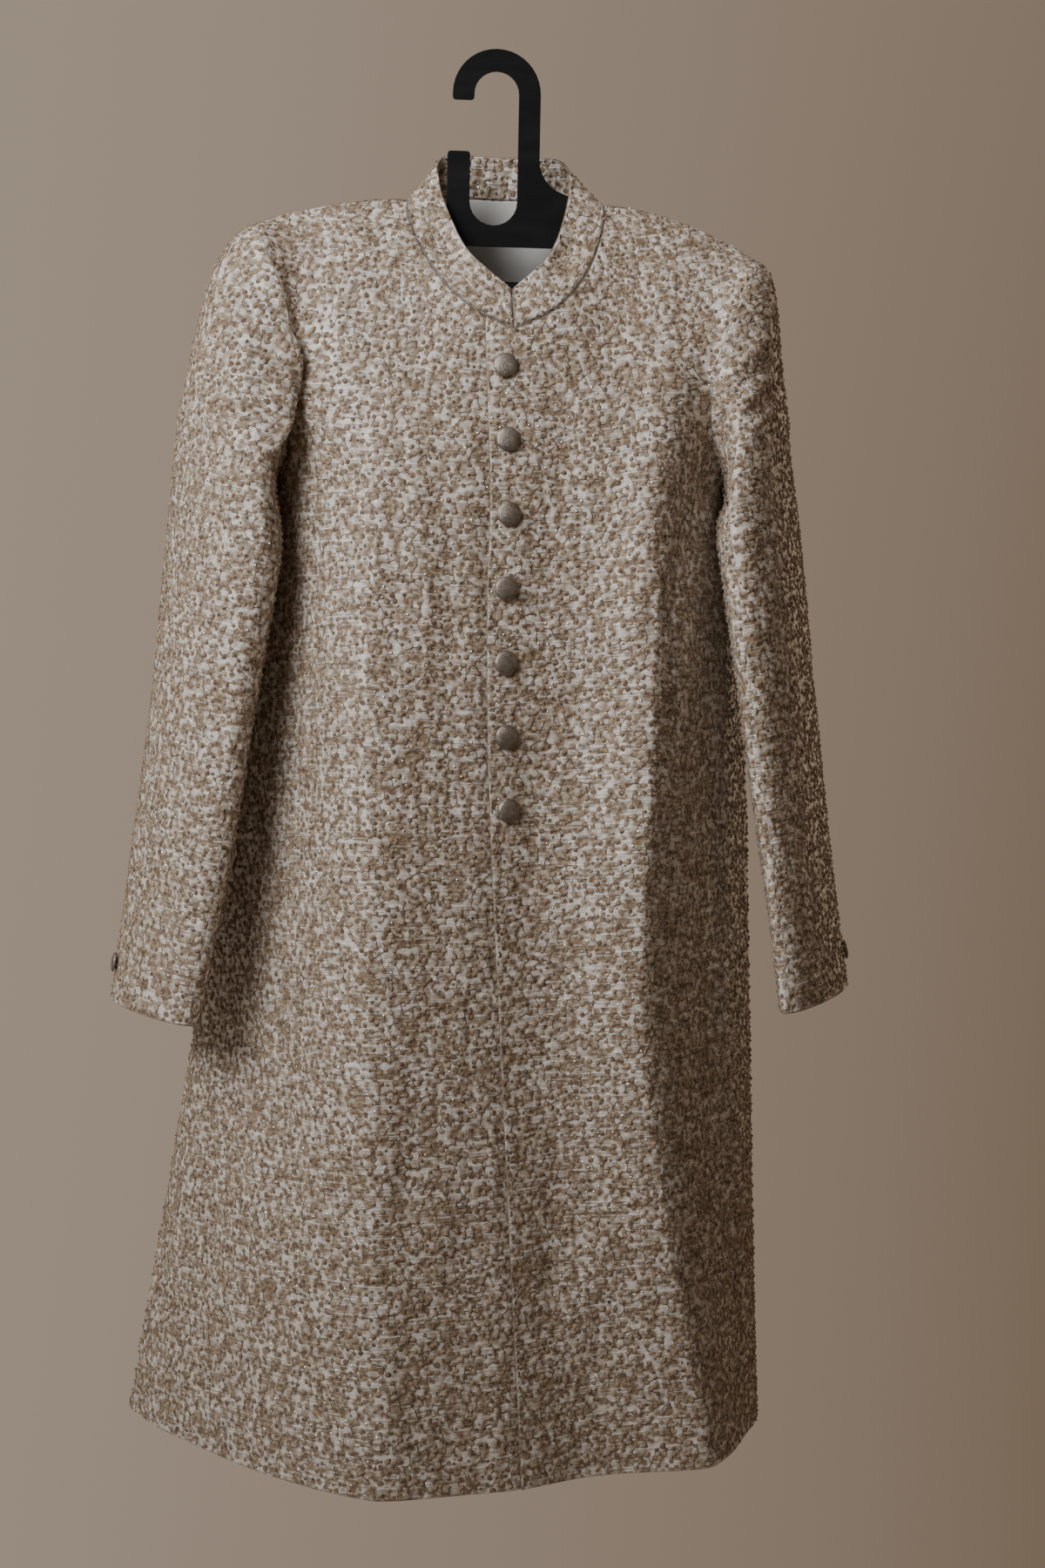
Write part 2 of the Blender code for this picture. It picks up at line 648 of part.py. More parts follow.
def hanger_outline():
    hook_middle = (0.0, -HOOK_INNER)
    hook_outer = HOOK_INNER + HOOK_BAND
    tip_z = -HOOK_INNER - HOOK_TIP_DROP
    stem_right = hook_outer
    prong_right = NOTCH_MIDDLE[0] - NOTCH_RADIUS
    top = []
    top += arc((-hook_outer + CORNER, tip_z + CORNER), CORNER, 270, 180, 3)
    top += arc(hook_middle, hook_outer, 180, 0, 20)
    top.append((stem_right, NECK_FILLET_TOP))
    top += arc((stem_right + NECK_FILLET, NECK_FILLET_TOP), NECK_FILLET, 180, 252, 6)
    right_arm = arm_line(1.0, ARM_START, 5)
    left_arm = arm_line(-1.0, ARM_START, 5)
    notch = []
    notch.append((PRONG_LEFT, left_arm_join(left_arm)))
    notch += arc((PRONG_LEFT + CORNER, PRONG_TOP - CORNER), CORNER, 180, 90, 3)
    notch += arc((prong_right - CORNER, PRONG_TOP - CORNER), CORNER, 90, 0, 3)
    notch += arc(NOTCH_MIDDLE, NOTCH_RADIUS, 180, 360, 12)
    inner = arc(hook_middle, HOOK_INNER, 0, 180, 14)
    inner += arc((-HOOK_INNER - CORNER, tip_z + CORNER), CORNER, 0, -90, 3)
    outline = tilted(top) + right_arm
    end_right = right_arm[-1]
    end_left = left_arm[-1]
    outline += arm_end(end_right, 1.0)
    outline += tilted([(SLOT_HALF + BAR_END, BAR_BOTTOM), (-SLOT_HALF - BAR_END, BAR_BOTTOM)])
    outline += arm_end(end_left, -1.0)[::-1]
    outline += left_arm[::-1]
    outline += tilted(notch)
    outline += tilted(inner)
    return outline


def arm_end(end, sign):
    """The blunt end of an arm, below the last point of its top edge."""
    nose = (end[0] + sign * ARM_NOSE, end[1] - 2 * ARM_NOSE)
    under = (end[0] - sign * ARM_NOSE, end[1] - ARM_DEPTH)
    return [nose, under]


def left_arm_join(left_arm):
    """Height where the prong's outer edge meets the arm's top edge."""
    return left_arm[0][1] + CORNER


def slot_outline():
    """The long opening between the plate and the bar below it."""
    corners = (
        (-SLOT_FLAT, PLATE_BOTTOM),
        (SLOT_FLAT, PLATE_BOTTOM),
        (SLOT_HALF, PLATE_BOTTOM - SLOT_DROP),
        (SLOT_HALF, BAR_TOP),
        (-SLOT_HALF, BAR_TOP),
        (-SLOT_HALF, PLATE_BOTTOM - SLOT_DROP),
    )
    return tilted(corners)


def make_hanger(material, collection, root):
    curve = bpy.data.curves.new("hanger", "CURVE")
    curve.dimensions = "2D"
    curve.fill_mode = "BOTH"
    curve.extrude = HANGER_THICK / 2
    for outline in (hanger_outline(), slot_outline()):
        spline = curve.splines.new("POLY")
        spline.points.add(len(outline) - 1)
        for point, (x, z) in zip(spline.points, outline):
            point.co = (x, z, 0.0, 1.0)
        spline.use_cyclic_u = True
    hanger = bpy.data.objects.new("hanger", curve)
    curve.materials.append(material)
    collection.objects.link(hanger)
    hanger.rotation_euler = (math.pi / 2, 0.0, 0.0)
    hanger.parent = root
    return hanger


# =================================================================== buttons
def button_mesh():
    """Half profile of a domed button with a rim, a flat back and a shank."""
    profile = [(0.0, BUTTON_HEIGHT)]
    dome_radius = BUTTON_RADIUS - BUTTON_RIM
    for share in (0.35, 0.65, 0.88, 1.0):
        drop = 1 - math.sqrt(1 - share * share * DOME_SPREAD)
        profile.append((dome_radius * share, BUTTON_HEIGHT - drop * DOME_RISE))
    rim_z = profile[-1][1] - RIM_STEP
    profile.append((BUTTON_RADIUS, rim_z))
    profile.append((BUTTON_RADIUS, rim_z - RIM_THICK))
    profile.append((SHANK_RADIUS, SHANK_HEIGHT))
    profile.append((SHANK_RADIUS, 0.0))
    profile.append((0.0, 0.0))
    data = bpy.data.meshes.new("button_profile")
    edges = [(k, k + 1) for k in range(len(profile) - 1)]
    data.from_pydata([(x, 0.0, z) for x, z in profile], edges, [])
    return data


def make_button(name, seat, normal, scale, data, material, collection, root):
    button = bpy.data.objects.new(name, data.copy())
    button.data.transform(Matrix.Scale(scale, 4))
    button.data.materials.append(material)
    collection.objects.link(button)
    screw = button.modifiers.new("turned", "SCREW")
    screw.axis = "Z"
    screw.angle = 2 * math.pi
    screw.steps = TURNED_STEPS
    screw.render_steps = TURNED_STEPS
    screw.use_merge_vertices = True
    screw.merge_threshold = 0.00005
    screw.use_smooth_shade = True
    button.location = seat + normal * SEAM_GAP
    button.rotation_euler = normal.to_track_quat("Z", "Y").to_euler()
    button.parent = root
    return button


def surface_tree(*grids):
    """A search tree over one or more grids of points, facing out."""
    points = []
    faces = []
    for grid in grids:
        rows, columns = grid.shape[:2]
        first = len(points)
        points += [Vector(point) for point in grid.reshape(-1, 3)]
        for r in range(rows - 1):
            for c in range(columns - 1):
                corner = first + r * columns + c
                faces.append((corner, corner + columns, corner + columns + 1, corner + 1))
    return BVHTree.FromPolygons(points, faces)


# ===================================================================== build
def main():
    for item in list(bpy.data.objects):
        bpy.data.objects.remove(item, do_unlink=True)
    collection = bpy.data.collections.new("sherwani_coat")
    bpy.context.scene.collection.children.link(collection)
    root = bpy.data.objects.new("coat_and_hanger", None)
    collection.objects.link(root)

    silk = finish("embroidered_silk", (0.56, 0.48, 0.38), 0.55)
    lining = finish("lining", (0.78, 0.77, 0.74), 0.50)
    metal = finish("antique_metal", (0.30, 0.25, 0.21), 0.38, 0.9)
    plastic = finish("black_plastic", (0.012, 0.012, 0.014), 0.45)

    front, front_places = body_sheet(FRONT_SPANS, False)
    back, back_places = body_sheet(BACK_SPANS, True)
    angles = collar_angles(front_places, back_places)
    stand = collar_sheet(angles)
    stand_out = sheet_normals(stand)
    stand_out = -stand_out if (stand_out[:, :, 1] * stand[:, :, 1]).mean() < 0 else stand_out
    front_out, back_out = shared_normals(front, front_places, back, back_places, stand_out, angles)

    edge = FRONT_EDGE_COLUMN

    # the wearer's left front, which laps over and carries the buttons
    outer = front[:, edge:].copy()
    inner = outer - WALL * front_out[:, edge:]
    seam_pull((outer, inner), -1, -2, CHEST_ROWS)
    add_object("front_left", wall_mesh("front_left", outer, inner), silk, collection, root)
    front_tree = surface_tree(outer)

    # the wearer's right front, whose edge runs under the lap
    columns = slice(0, edge + LAP_CELLS + 1)
    inset = np.interp(np.arange(edge + LAP_CELLS + 1), (edge - 1, edge), (0.0, LAP_INSET))
    outer = front[:, columns] - front_out[:, columns] * inset[None, :, None]
    inner = outer - WALL * front_out[:, columns]
    seam_pull((outer, inner), 0, 1, CHEST_ROWS)
    add_object("front_right", wall_mesh("front_right", outer, inner), silk, collection, root)

    # the back's two halves, joined by a seam down the middle
    middle = BACK_SEAM_COLUMN
    outer = back[:, : middle + 1].copy()
    inner = outer - WALL * back_out[:, : middle + 1]
    seam_pull((outer, inner), 0, 1, CHEST_ROWS)
    seam_pull((outer, inner), -1, -2)
    add_object("back_left", wall_mesh("back_left", outer, inner), silk, collection, root)

    outer = back[:, middle:].copy()
    inner = outer - WALL * back_out[:, middle:]
    seam_pull((outer, inner), 0, 1)
    seam_pull((outer, inner), -1, -2, CHEST_ROWS)
    add_object("back_right", wall_mesh("back_right", outer, inner), silk, collection, root)

    # the lining that shows inside the back of the neck
    neck = np.flatnonzero(np.abs(back_places) <= 1.0)
    neck = slice(neck[0], neck[-1] + 1)
    inward = back_out[1 : CHEST_ROWS + 1, neck]
    outer = back[1 : CHEST_ROWS + 1, neck] - (WALL + LINING_GAP) * inward
    add_object(
        "lining_back",
        wall_mesh("lining_back", outer, outer - LINING_WALL * inward),
        lining, collection, root,
    )

    inner = stand - WALL * stand_out
    add_object("collar", wall_mesh("collar", stand, inner), silk, collection, root)

    body_tree = surface_tree(front, back)
    cuff_trees = {}
    for side in ("right", "left"):
        rings = sleeve_sheet(side)
        keep_clear(rings, body_tree)
        for piece, (outer, inner) in sleeve_walls(side, rings).items():
            name = f"sleeve_{side}_{piece}"
            add_object(name, wall_mesh(name, outer, inner), silk, collection, root)
        cuff_trees[side] = surface_tree(np.concatenate((rings, rings[:, :1]), axis=1))

    button = button_mesh()
    for number in range(BUTTON_COUNT):
        z = FIRST_BUTTON_Z - number * BUTTON_PITCH
        edge_x = np.interp(-z, -front[:, edge, 2], front[:, edge, 0])
        origin = Vector((edge_x + BUTTON_FROM_EDGE, -1.0, z))
        seat, normal = front_tree.ray_cast(origin, Vector((0, 1, 0)))[:2]
        normal = normal if normal.y < 0 else -normal
        name = f"button_front_{number + 1}"
        make_button(name, seat, normal, 1.0, button, metal, collection, root)
    for side, (y, z, direction) in CUFF_BUTTONS.items():
        origin = Vector((-direction, y, z))
        seat, normal = cuff_trees[side].ray_cast(origin, Vector((direction, 0, 0)))[:2]
        normal = normal if normal.x * direction < 0 else -normal
        name = f"button_cuff_{side}"
        make_button(name, seat, normal, CUFF_BUTTON_RADIUS_SHARE, button, metal, collection, root)

    make_hanger(plastic, collection, root)


main()
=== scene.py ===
# %% [markdown]
# # A sherwani coat on a plate hanger
# A sherwani is a long buttoned coat with a standing collar. This one is cut
# from ivory dupion silk that was embroidered all over before it was sewn, and
# it hangs from a flat plastic hanger. The solids of the coat are loaded first
# as a fixed frame, because every visible piece is fitted to them and stands in
# for one of them.

# %% Load the frame
import json
import math
from collections import namedtuple

import bmesh
import bpy
import numpy as np
from mathutils import Matrix, Vector
from mathutils.bvhtree import BVHTree

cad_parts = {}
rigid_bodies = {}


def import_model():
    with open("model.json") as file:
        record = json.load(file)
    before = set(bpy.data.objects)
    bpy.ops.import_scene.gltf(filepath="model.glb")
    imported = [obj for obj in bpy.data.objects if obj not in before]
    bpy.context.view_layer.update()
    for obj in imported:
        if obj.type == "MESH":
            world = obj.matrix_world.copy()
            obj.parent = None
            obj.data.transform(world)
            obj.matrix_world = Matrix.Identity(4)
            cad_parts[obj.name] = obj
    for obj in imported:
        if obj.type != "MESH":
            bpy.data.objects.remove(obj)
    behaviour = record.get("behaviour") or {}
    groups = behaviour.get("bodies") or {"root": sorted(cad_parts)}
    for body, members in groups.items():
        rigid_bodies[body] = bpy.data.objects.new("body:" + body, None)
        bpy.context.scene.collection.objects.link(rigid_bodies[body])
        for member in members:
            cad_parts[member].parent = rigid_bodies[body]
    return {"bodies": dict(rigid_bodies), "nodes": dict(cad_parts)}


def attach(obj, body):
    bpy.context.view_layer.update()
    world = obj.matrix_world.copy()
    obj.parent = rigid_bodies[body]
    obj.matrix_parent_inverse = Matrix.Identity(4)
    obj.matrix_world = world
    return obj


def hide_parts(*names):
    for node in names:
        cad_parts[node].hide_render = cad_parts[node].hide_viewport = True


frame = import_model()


def add_object(name, data):
    """An object of the scene for a mesh, a lamp or a camera."""
    item = bpy.data.objects.new(name, data)
    bpy.context.scene.collection.objects.link(item)
    return item


kept = set(frame["nodes"].values()) | set(frame["bodies"].values())
for item in set(bpy.data.objects) - kept:
    bpy.data.objects.remove(item)
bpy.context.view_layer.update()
print("solids:", len(frame["nodes"]), "nodes")

# %% [markdown]
# The camera stands about two metres in front of the coat, a little to its
# right side, and looks slightly down. It could be aimed with a constraint,
# but a matrix built from its three angles keeps the small roll exact.

# %% The camera
CAMERA_PLACE = (-0.13709, -2.03101, -0.53383)
CAMERA_YAW = math.radians(4.0)
CAMERA_PITCH = math.radians(3.4336)      # downward
CAMERA_ROLL = math.radians(1.6)
CAMERA_LENS = 50.0
CAMERA_SENSOR = 36.0


def camera_axes():
    """The view's right, its up, and the direction back to the viewer."""
    forward = Vector((
        math.sin(CAMERA_YAW) * math.cos(CAMERA_PITCH),
        math.cos(CAMERA_YAW) * math.cos(CAMERA_PITCH),
        -math.sin(CAMERA_PITCH),
    ))
    level = Vector((math.cos(CAMERA_YAW), -math.sin(CAMERA_YAW), 0.0))
    down = forward.cross(level)
    right = math.cos(CAMERA_ROLL) * level + math.sin(CAMERA_ROLL) * down
    down = math.cos(CAMERA_ROLL) * down - math.sin(CAMERA_ROLL) * level
    return right, -down, -forward


lens = bpy.data.cameras.new("camera")
lens.lens = CAMERA_LENS
lens.sensor_width = CAMERA_SENSOR
camera = add_object("camera", lens)
camera.matrix_world = Matrix(camera_axes()).transposed().to_4x4()
camera.location = CAMERA_PLACE
bpy.context.scene.camera = camera
print("camera at", tuple(round(x, 3) for x in camera.location))

# %% [markdown]
# Cloth on a hanger takes a shape that is easiest to give as level sections:
# where each side seam, edge and soft fold stands at the chest, waist, hip and
# hem. The tables below hold those places in metres, with the wearer's right
# at -X and the front at -Y. A sculpted mesh would work too, but a table can
# be read and changed one fold at a time.

# %% Sizes of the coat
WALL = 0.0020            # silk, embroidery, canvas and lining together
SEAM_GAP = 0.0003
LAP_INSET = WALL + 2 * SEAM_GAP
NECK_BLEND = 0.45
LINING_WALL = 0.0010
LINING_GAP = 0.0004
CHEST_Z = -0.375
WAIST_Z = -0.620
HIP_Z = -0.920
LEVEL_TILT = 0.045
CHEST_ROWS = 10
RELAX_ROUNDS = 8
RELAX_KEEP = 0.5         # share of its place that a point keeps in each round
CORNER_PULL = 0.25       # of a corner's rounding, by which the bend cuts it short
SCYE_SOFT = 0.40
FULLNESS = (
    (0.0, 0.4, 1.0, 1.45, 2.0),      # place along the top
    (1.20, 1.35, 1.30, 1.42, 1.75),
)
WAIST_ROWS = 5
HIP_ROWS = 6
HEM_ROWS = 7
LINES = {
    # name: (rounding, chest x y, waist x y, hip x y, hem x y z)
    "side_right": (0.045, (-0.222, 0.018), (-0.268, 0.066), (-0.321, 0.098),
        (-0.397, 0.118, -1.270)),
    "face_right": (0.060, (-0.185, -0.040), (-0.210, -0.024), (-0.247, -0.015),
        (-0.266, -0.042, -1.2805)),
    "fold_right": (0.035, (-0.137, -0.088), (-0.142, -0.104), (-0.152, -0.110),
        (-0.158, -0.112, -1.289)),
    "front_edge": (0.000, (-0.0235, -0.088), (-0.031, -0.091), (-0.027, -0.090),
        (-0.0195, -0.088, -1.296)),
    "trough_left": (0.030, (0.072, -0.079), (0.042, -0.076), (0.024, -0.076),
        (0.050, -0.058, -1.298)),
    "fold_left": (0.030, (0.140, -0.078), (0.118, -0.092), (0.108, -0.084),
        (0.165, -0.048, -1.299)),
    "side_left": (0.040, (0.204, 0.018), (0.227, 0.060), (0.229, 0.078), (0.228, 0.088, -1.293)),
    "back_left": (0.060, (0.150, 0.098), (0.155, 0.128), (0.140, 0.166), (0.115, 0.205, -1.287)),
    "back_trough": (0.070, (0.004, 0.108), (-0.010, 0.100), (-0.030, 0.098),
        (-0.060, 0.104, -1.282)),
    "back_right": (0.060, (-0.142, 0.100), (-0.162, 0.132), (-0.198, 0.178),
        (-0.238, 0.222, -1.275)),
}
FRONT_SPANS = (
    # from           to             cells and their place along the top
    ("side_right", "face_right", ((0, -2.00), (3, -1.64))),
    ("face_right", "fold_right", ((0, -1.64), (3, -1.38))),
    ("fold_right", "front_edge", ((0, -1.38), (2, -1.00), (10, -0.15))),
    ("front_edge", "trough_left", ((0, -0.15), (2, 0.00), (6, 0.40))),
    ("trough_left", "fold_left", ((0, 0.40), (6, 1.00), (8, 1.45))),
    ("fold_left", "side_left", ((0, 1.45), (4, 2.00))),
)
BACK_SPANS = (
    ("side_left", "back_left", ((0, 2.00), (4, 1.45))),
    ("back_left", "back_trough", ((0, 1.45), (2, 1.00), (6, 0.00))),
    ("back_trough", "back_right", ((0, 0.00), (4, -1.00), (6, -1.38))),
    ("back_right", "side_right", ((0, -1.38), (3, -1.64), (6, -2.00))),
)
FRONT_EDGE_COLUMN = 16
LAP_CELLS = 3
print("body lines:", ", ".join(LINES))

# %% [markdown]
# The neck seam and the collar's top edge are given point by point, because the
# collar leans differently all round the neck. An armhole needs its tip at the
# shoulder, its low point under the arm and its depth in front and behind. A
# sleeve hangs in its own curve, so it is given ring by ring.

# %% Sizes of the neck, armholes and sleeves
NECK_X = 0.004
NECK_TILT = 0.045
SHOULDER_ANGLE = 125.0   # of the neck point, from the middle of the front
COLLAR_ROWS = 3
COLLAR_DENT = 0.004
DENT_ANGLE = 62.0
DENT_SPREAD = 16.0
COLLAR = (
    # angle   seam x, y, z               top edge x, y, z
    (0.0, (0.000, -0.070, -0.2435), (0.000, -0.055, -0.2065)),
    (30.0, (0.037, -0.064, -0.2246), (0.021, -0.050, -0.1887)),
    (60.0, (0.066, -0.047, -0.1940), (0.039, -0.037, -0.1685)),
    (90.0, (0.084, -0.024, -0.1566), (0.053, -0.018, -0.1343)),
    (125.0, (0.0905, 0.000, -0.1180), (0.061, 0.008, -0.0946)),
    (152.0, (0.070, 0.036, -0.1085), (0.055, 0.036, -0.0715)),
    (180.0, (0.000, 0.050, -0.1077), (0.000, 0.046, -0.0687)),
)
Armhole = namedtuple("Armhole", "tip under front_y back_y scoop bow")
ARMHOLES = {
    # side            tip x, y, z             under x, y, z      front y  back y  scoop  bow
    "right": Armhole((-0.226, 0.0, -0.1345), (-0.222, 0.018, 0.0), -0.056, 0.072, 0.031, 0.006),
    "left": Armhole((0.236, 0.0, -0.1760), (0.204, 0.018, 0.0), -0.056, 0.072, -0.032, 0.011),
}
BOW_SHARPNESS = 0.7
SCYE_LOW = 0.3
SCYE_UNDER = 0.75        # how much the underarm's own depth counts in the swell
SLEEVES = {
    "right": (
        # outer x, y, z            inner x, y, z             half depth
        ((-0.2490, 0.000, -0.1510), (-0.2215, 0.008, -0.371), 0.0610),
        ((-0.2655, 0.000, -0.1780), (-0.2190, -0.004, -0.378), 0.0610),
        ((-0.2785, 0.005, -0.2150), (-0.2130, -0.021, -0.386), 0.0605),
        ((-0.2910, 0.010, -0.2620), (-0.2060, -0.040, -0.399), 0.0590),
        ((-0.3045, 0.020, -0.3200), (-0.2055, -0.051, -0.420), 0.0565),
        ((-0.3165, 0.030, -0.3970), (-0.2125, -0.057, -0.453), 0.0525),
        ((-0.3285, 0.035, -0.4830), (-0.2265, -0.058, -0.520), 0.0490),
        ((-0.3400, 0.036, -0.5700), (-0.2415, -0.057, -0.592), 0.0460),
        ((-0.3545, 0.036, -0.6550), (-0.2550, -0.056, -0.662), 0.0430),
        ((-0.3700, 0.035, -0.7480), (-0.2705, -0.054, -0.740), 0.0400),
        ((-0.3795, 0.033, -0.8050), (-0.2865, -0.053, -0.805), 0.0375),
        ((-0.3871, 0.030, -0.8468), (-0.2997, -0.052, -0.8625), 0.0355),
    ),
    "left": (
        ((0.2490, 0.000, -0.1900), (0.2040, 0.008, -0.391), 0.0610),
        ((0.2540, 0.004, -0.2130), (0.2015, -0.006, -0.398), 0.0605),
        ((0.2580, 0.012, -0.2490), (0.1970, -0.025, -0.406), 0.0595),
        ((0.2625, 0.020, -0.2960), (0.1905, -0.043, -0.417), 0.0575),
        ((0.2680, 0.028, -0.3480), (0.1870, -0.055, -0.436), 0.0545),
        ((0.2765, 0.035, -0.4150), (0.1890, -0.060, -0.469), 0.0500),
        ((0.2850, 0.041, -0.5050), (0.1960, -0.061, -0.531), 0.0460),
        ((0.2925, 0.046, -0.5900), (0.2035, -0.061, -0.597), 0.0420),
        ((0.3000, 0.050, -0.6720), (0.2110, -0.060, -0.665), 0.0390),
        ((0.3075, 0.050, -0.7570), (0.2215, -0.060, -0.751), 0.0360),
        ((0.3145, 0.050, -0.8200), (0.2290, -0.058, -0.816), 0.0330),
        ((0.3196, 0.050, -0.8648), (0.2339, -0.058, -0.8717), 0.0310),
    ),
}
SLEEVE_RINGS = 15
RING_CROWDING = 1.4
SLEEVE_HEAD_GAP = 1.5 * SEAM_GAP     # from the armhole to the sleeve's first ring
BODY_CLEARANCE = 0.0065
BODY_SIDE = 0.05         # points of a ring with a cosine below it face the body
DEEPEST_PRESS = 0.0200   # points deeper than this lie on the body's other side
CAP_RINGS = 6
BACK_SEAM_STEP = 2
FRONT_SEAM_STEP = 12
print("sleeve sections:", {side: len(rows) for side, rows in SLEEVES.items()})

# %% [markdown]
# A table gives only a few points. A smooth curve through them gives the rest,
# as the cloth itself does, and the same curve serves for rows and for
# columns. The body's ring at any height joins the lines of the table, with
# each corner rounded by a short bend.

# %% Smooth curves


def unit(vectors):
    length = np.linalg.norm(vectors, axis=-1, keepdims=True)
    return vectors / np.maximum(length, 1e-12)


def smooth_through(knots, values, places):
    """A smooth curve through rows of values given at rising knots."""
    knots = np.asarray(knots, float)
    values = np.asarray(values, float)
    slopes = np.gradient(values, knots, axis=0)
    places = np.atleast_1d(np.asarray(places, float))
    index = np.clip(np.searchsorted(knots, places, side="right") - 1, 0, len(knots) - 2)
    step = knots[index + 1] - knots[index]
    t = (places - knots[index]) / step
    shape = (-1,) + (1,) * (values.ndim - 1)
    t = t.reshape(shape)
    step = step.reshape(shape)
    start = (1 + 2 * t) * (1 - t) ** 2 * values[index] + t * (1 - t) ** 2 * step * slopes[index]
    end = t * t * (3 - 2 * t) * values[index + 1] + t * t * (t - 1) * step * slopes[index + 1]
    return start + end


def sheet_normals(grid):
    """Normals of a grid of points [row down, column across], facing out."""
    down = np.gradient(grid, axis=0)
    across = np.gradient(grid, axis=1)
    return unit(np.cross(down, across))


halfway = smooth_through((0, 1, 2), (0.0, 1.0, 4.0), 0.5)
print("a curve through 0, 1 and 4, halfway to 1:", halfway[0])

# %% Level sections of the body


def section(row_place):
    """Corner points of the body's ring: rows place from 0, chest, to 3, hem."""
    ring = {}
    for name, (rounding, chest, waist, hip, hem) in LINES.items():
        levels = (
            (*chest, CHEST_Z - LEVEL_TILT * chest[0]),
            (*waist, WAIST_Z - LEVEL_TILT * waist[0]),
            (*hip, HIP_Z - LEVEL_TILT * hip[0]),
            hem,
        )
        ring[name] = (rounding, smooth_through((0, 1, 2, 3), levels, row_place)[0])
    return ring


def rounded_span(ring, names, spans):
    """Points of one row of cloth, with the bend at each corner rounded."""
    points = {name: ring[name][1] for name in names}
    bend = {}
    for place, name in enumerate(names):
        before = points[names[place - 1]]
        after = points[names[(place + 1) % len(names)]]
        sides = unit(after - points[name]) + unit(before - points[name])
        bend[name] = points[name] - CORNER_PULL * ring[name][0] * sides
    row = []
    for start, end, cells in spans:
        count = cells[-1][0]
        length = np.linalg.norm(bend[end] - bend[start])
        for cell in range(count):
            along = cell / count * length
            row.append(corner_point(ring, bend, start, end, along, length))
    row.append(corner_point(ring, bend, end, start, 0.0, length))
    return np.array(row)


def corner_point(ring, bend, start, end, along, length):
    """A point on the span, pulled onto the rounded bend near its ends."""
    here = bend[start] + (bend[end] - bend[start]) * (along / length)
    for name, distance in ((start, along), (end, length - along)):
        reach = ring[name][0]
        if distance < reach:
            t = 0.5 + 0.5 * distance / reach
            toward = bend[end] if name == start else bend[start]
            other = other_side(bend, name, toward)
            first = bend[name] + reach * unit(other - bend[name])
            last = bend[name] + reach * unit(toward - bend[name])
            return (1 - t) ** 2 * first + 2 * t * (1 - t) * bend[name] + t * t * last
    return here


def other_side(bend, name, toward):
    """The neighbour of a corner that is not the one the span runs toward."""
    names = list(LINES)
    place = names.index(name)
    before = bend[names[place - 1]]
    after = bend[names[(place + 1) % len(names)]]
    return before if np.allclose(toward, after) else after


print("chest ring:", rounded_span(section(0), list(LINES), FRONT_SPANS + BACK_SPANS).shape)

# %% [markdown]
# The top of the coat is one line: round the neck seam, then out along each
# shoulder seam. Below it the cloth rounds over the shoulders into the chest,
# and at the sides it ends at the armholes. A few rounds of evening out take
# away the creases that such a blend leaves.

# %% The neck seam and the shoulder seams


def collar_curve(angle, which):
    """The neck seam (which = 1) or the stand's top edge (2) at an angle."""
    angle = ((angle + 180.0) % 360.0) - 180.0
    half = np.array([row[which] for row in COLLAR])
    knots = [row[0] for row in COLLAR]
    mirrored = half[-2] * (-1, 1, 1)
    values = np.vstack((2 * half[0] - half[1], half, mirrored))
    knots = [-knots[1]] + knots + [2 * 180.0 - knots[-2]]
    point = smooth_through(knots, values, abs(angle))[0]
    if angle < 0:
        point[0] = -point[0]
    point[2] -= NECK_TILT * point[0]
    point[0] += NECK_X
    return point


def place_angle(place, is_back):
    """Angle round the neck, from the middle of the front, of a place on it."""
    if not is_back:
        return place * SHOULDER_ANGLE
    sign = -1.0 if place < 0 else 1.0
    return sign * (180.0 - abs(place) * (180.0 - SHOULDER_ANGLE))


def top_point(place, is_back):
    """A point of the coat's top: neck seam, then shoulder seam."""
    side = "left" if place > 0 else "right"
    sign = 1.0 if place > 0 else -1.0
    if abs(place) < 1.0:
        return collar_curve(place_angle(place, is_back), 1)
    neck_point = collar_curve(sign * SHOULDER_ANGLE, 1)
    share = abs(place) - 1.0
    point = neck_point + (np.array(ARMHOLES[side].tip) - neck_point) * share
    point[2] += ARMHOLES[side].bow * (4 * share * (1 - share)) ** BOW_SHARPNESS
    point[1] += 0.5 * SEAM_GAP * (1 if is_back else -1)
    return point


print("shoulder tips:", top_point(-2.0, False).round(3), top_point(2.0, False).round(3))

# %% The armholes


def armhole(side, turn):
    """The armhole at a turn in degrees: 0 tip, 90 back, 180 under, 270 front."""
    hole = ARMHOLES[side]
    under = np.array((hole.under[0], hole.under[1], CHEST_Z - LEVEL_TILT * hole.under[0]))
    radians = math.radians(turn)
    down = (1 - math.cos(radians)) / 2
    point = np.array(hole.tip) * (1 - down) + under * down
    point[0] += hole.scoop * scoop_shape(radians)
    depth = hole.back_y if math.sin(radians) > 0 else hole.front_y
    point[1] += (depth - 0.5 * (hole.tip[1] + under[1])) * abs(math.sin(radians))
    return point


def scoop_shape(radians):
    """Share of the armhole's scoop at a turn, deepest below the middle."""
    return math.sin(radians) ** 2 * (1 - SCYE_LOW * math.cos(radians))


def armhole_radial(side, turn):
    """Out from the armhole's middle, level with the armhole's own plane."""
    middle = (armhole(side, 0.0) + armhole(side, 180.0)) / 2
    return unit((armhole(side, turn) - middle) * (0.0, 1.0, 1.0))


for side in ARMHOLES:
    drop = armhole(side, 0.0)[2] - armhole(side, 180.0)[2]
    print(f"armhole {side}: {drop:.3f} m from tip to underarm")

# %% The body from its top to its hem


def top_places(spans):
    places = []
    for cells in [span[2] for span in spans]:
        count = cells[-1][0]
        knots = [knot for knot, place in cells]
        values = [place for knot, place in cells]
        places.extend(np.interp(range(count), knots, values))
    places.append(spans[-1][2][-1][1])
    return np.array(places)


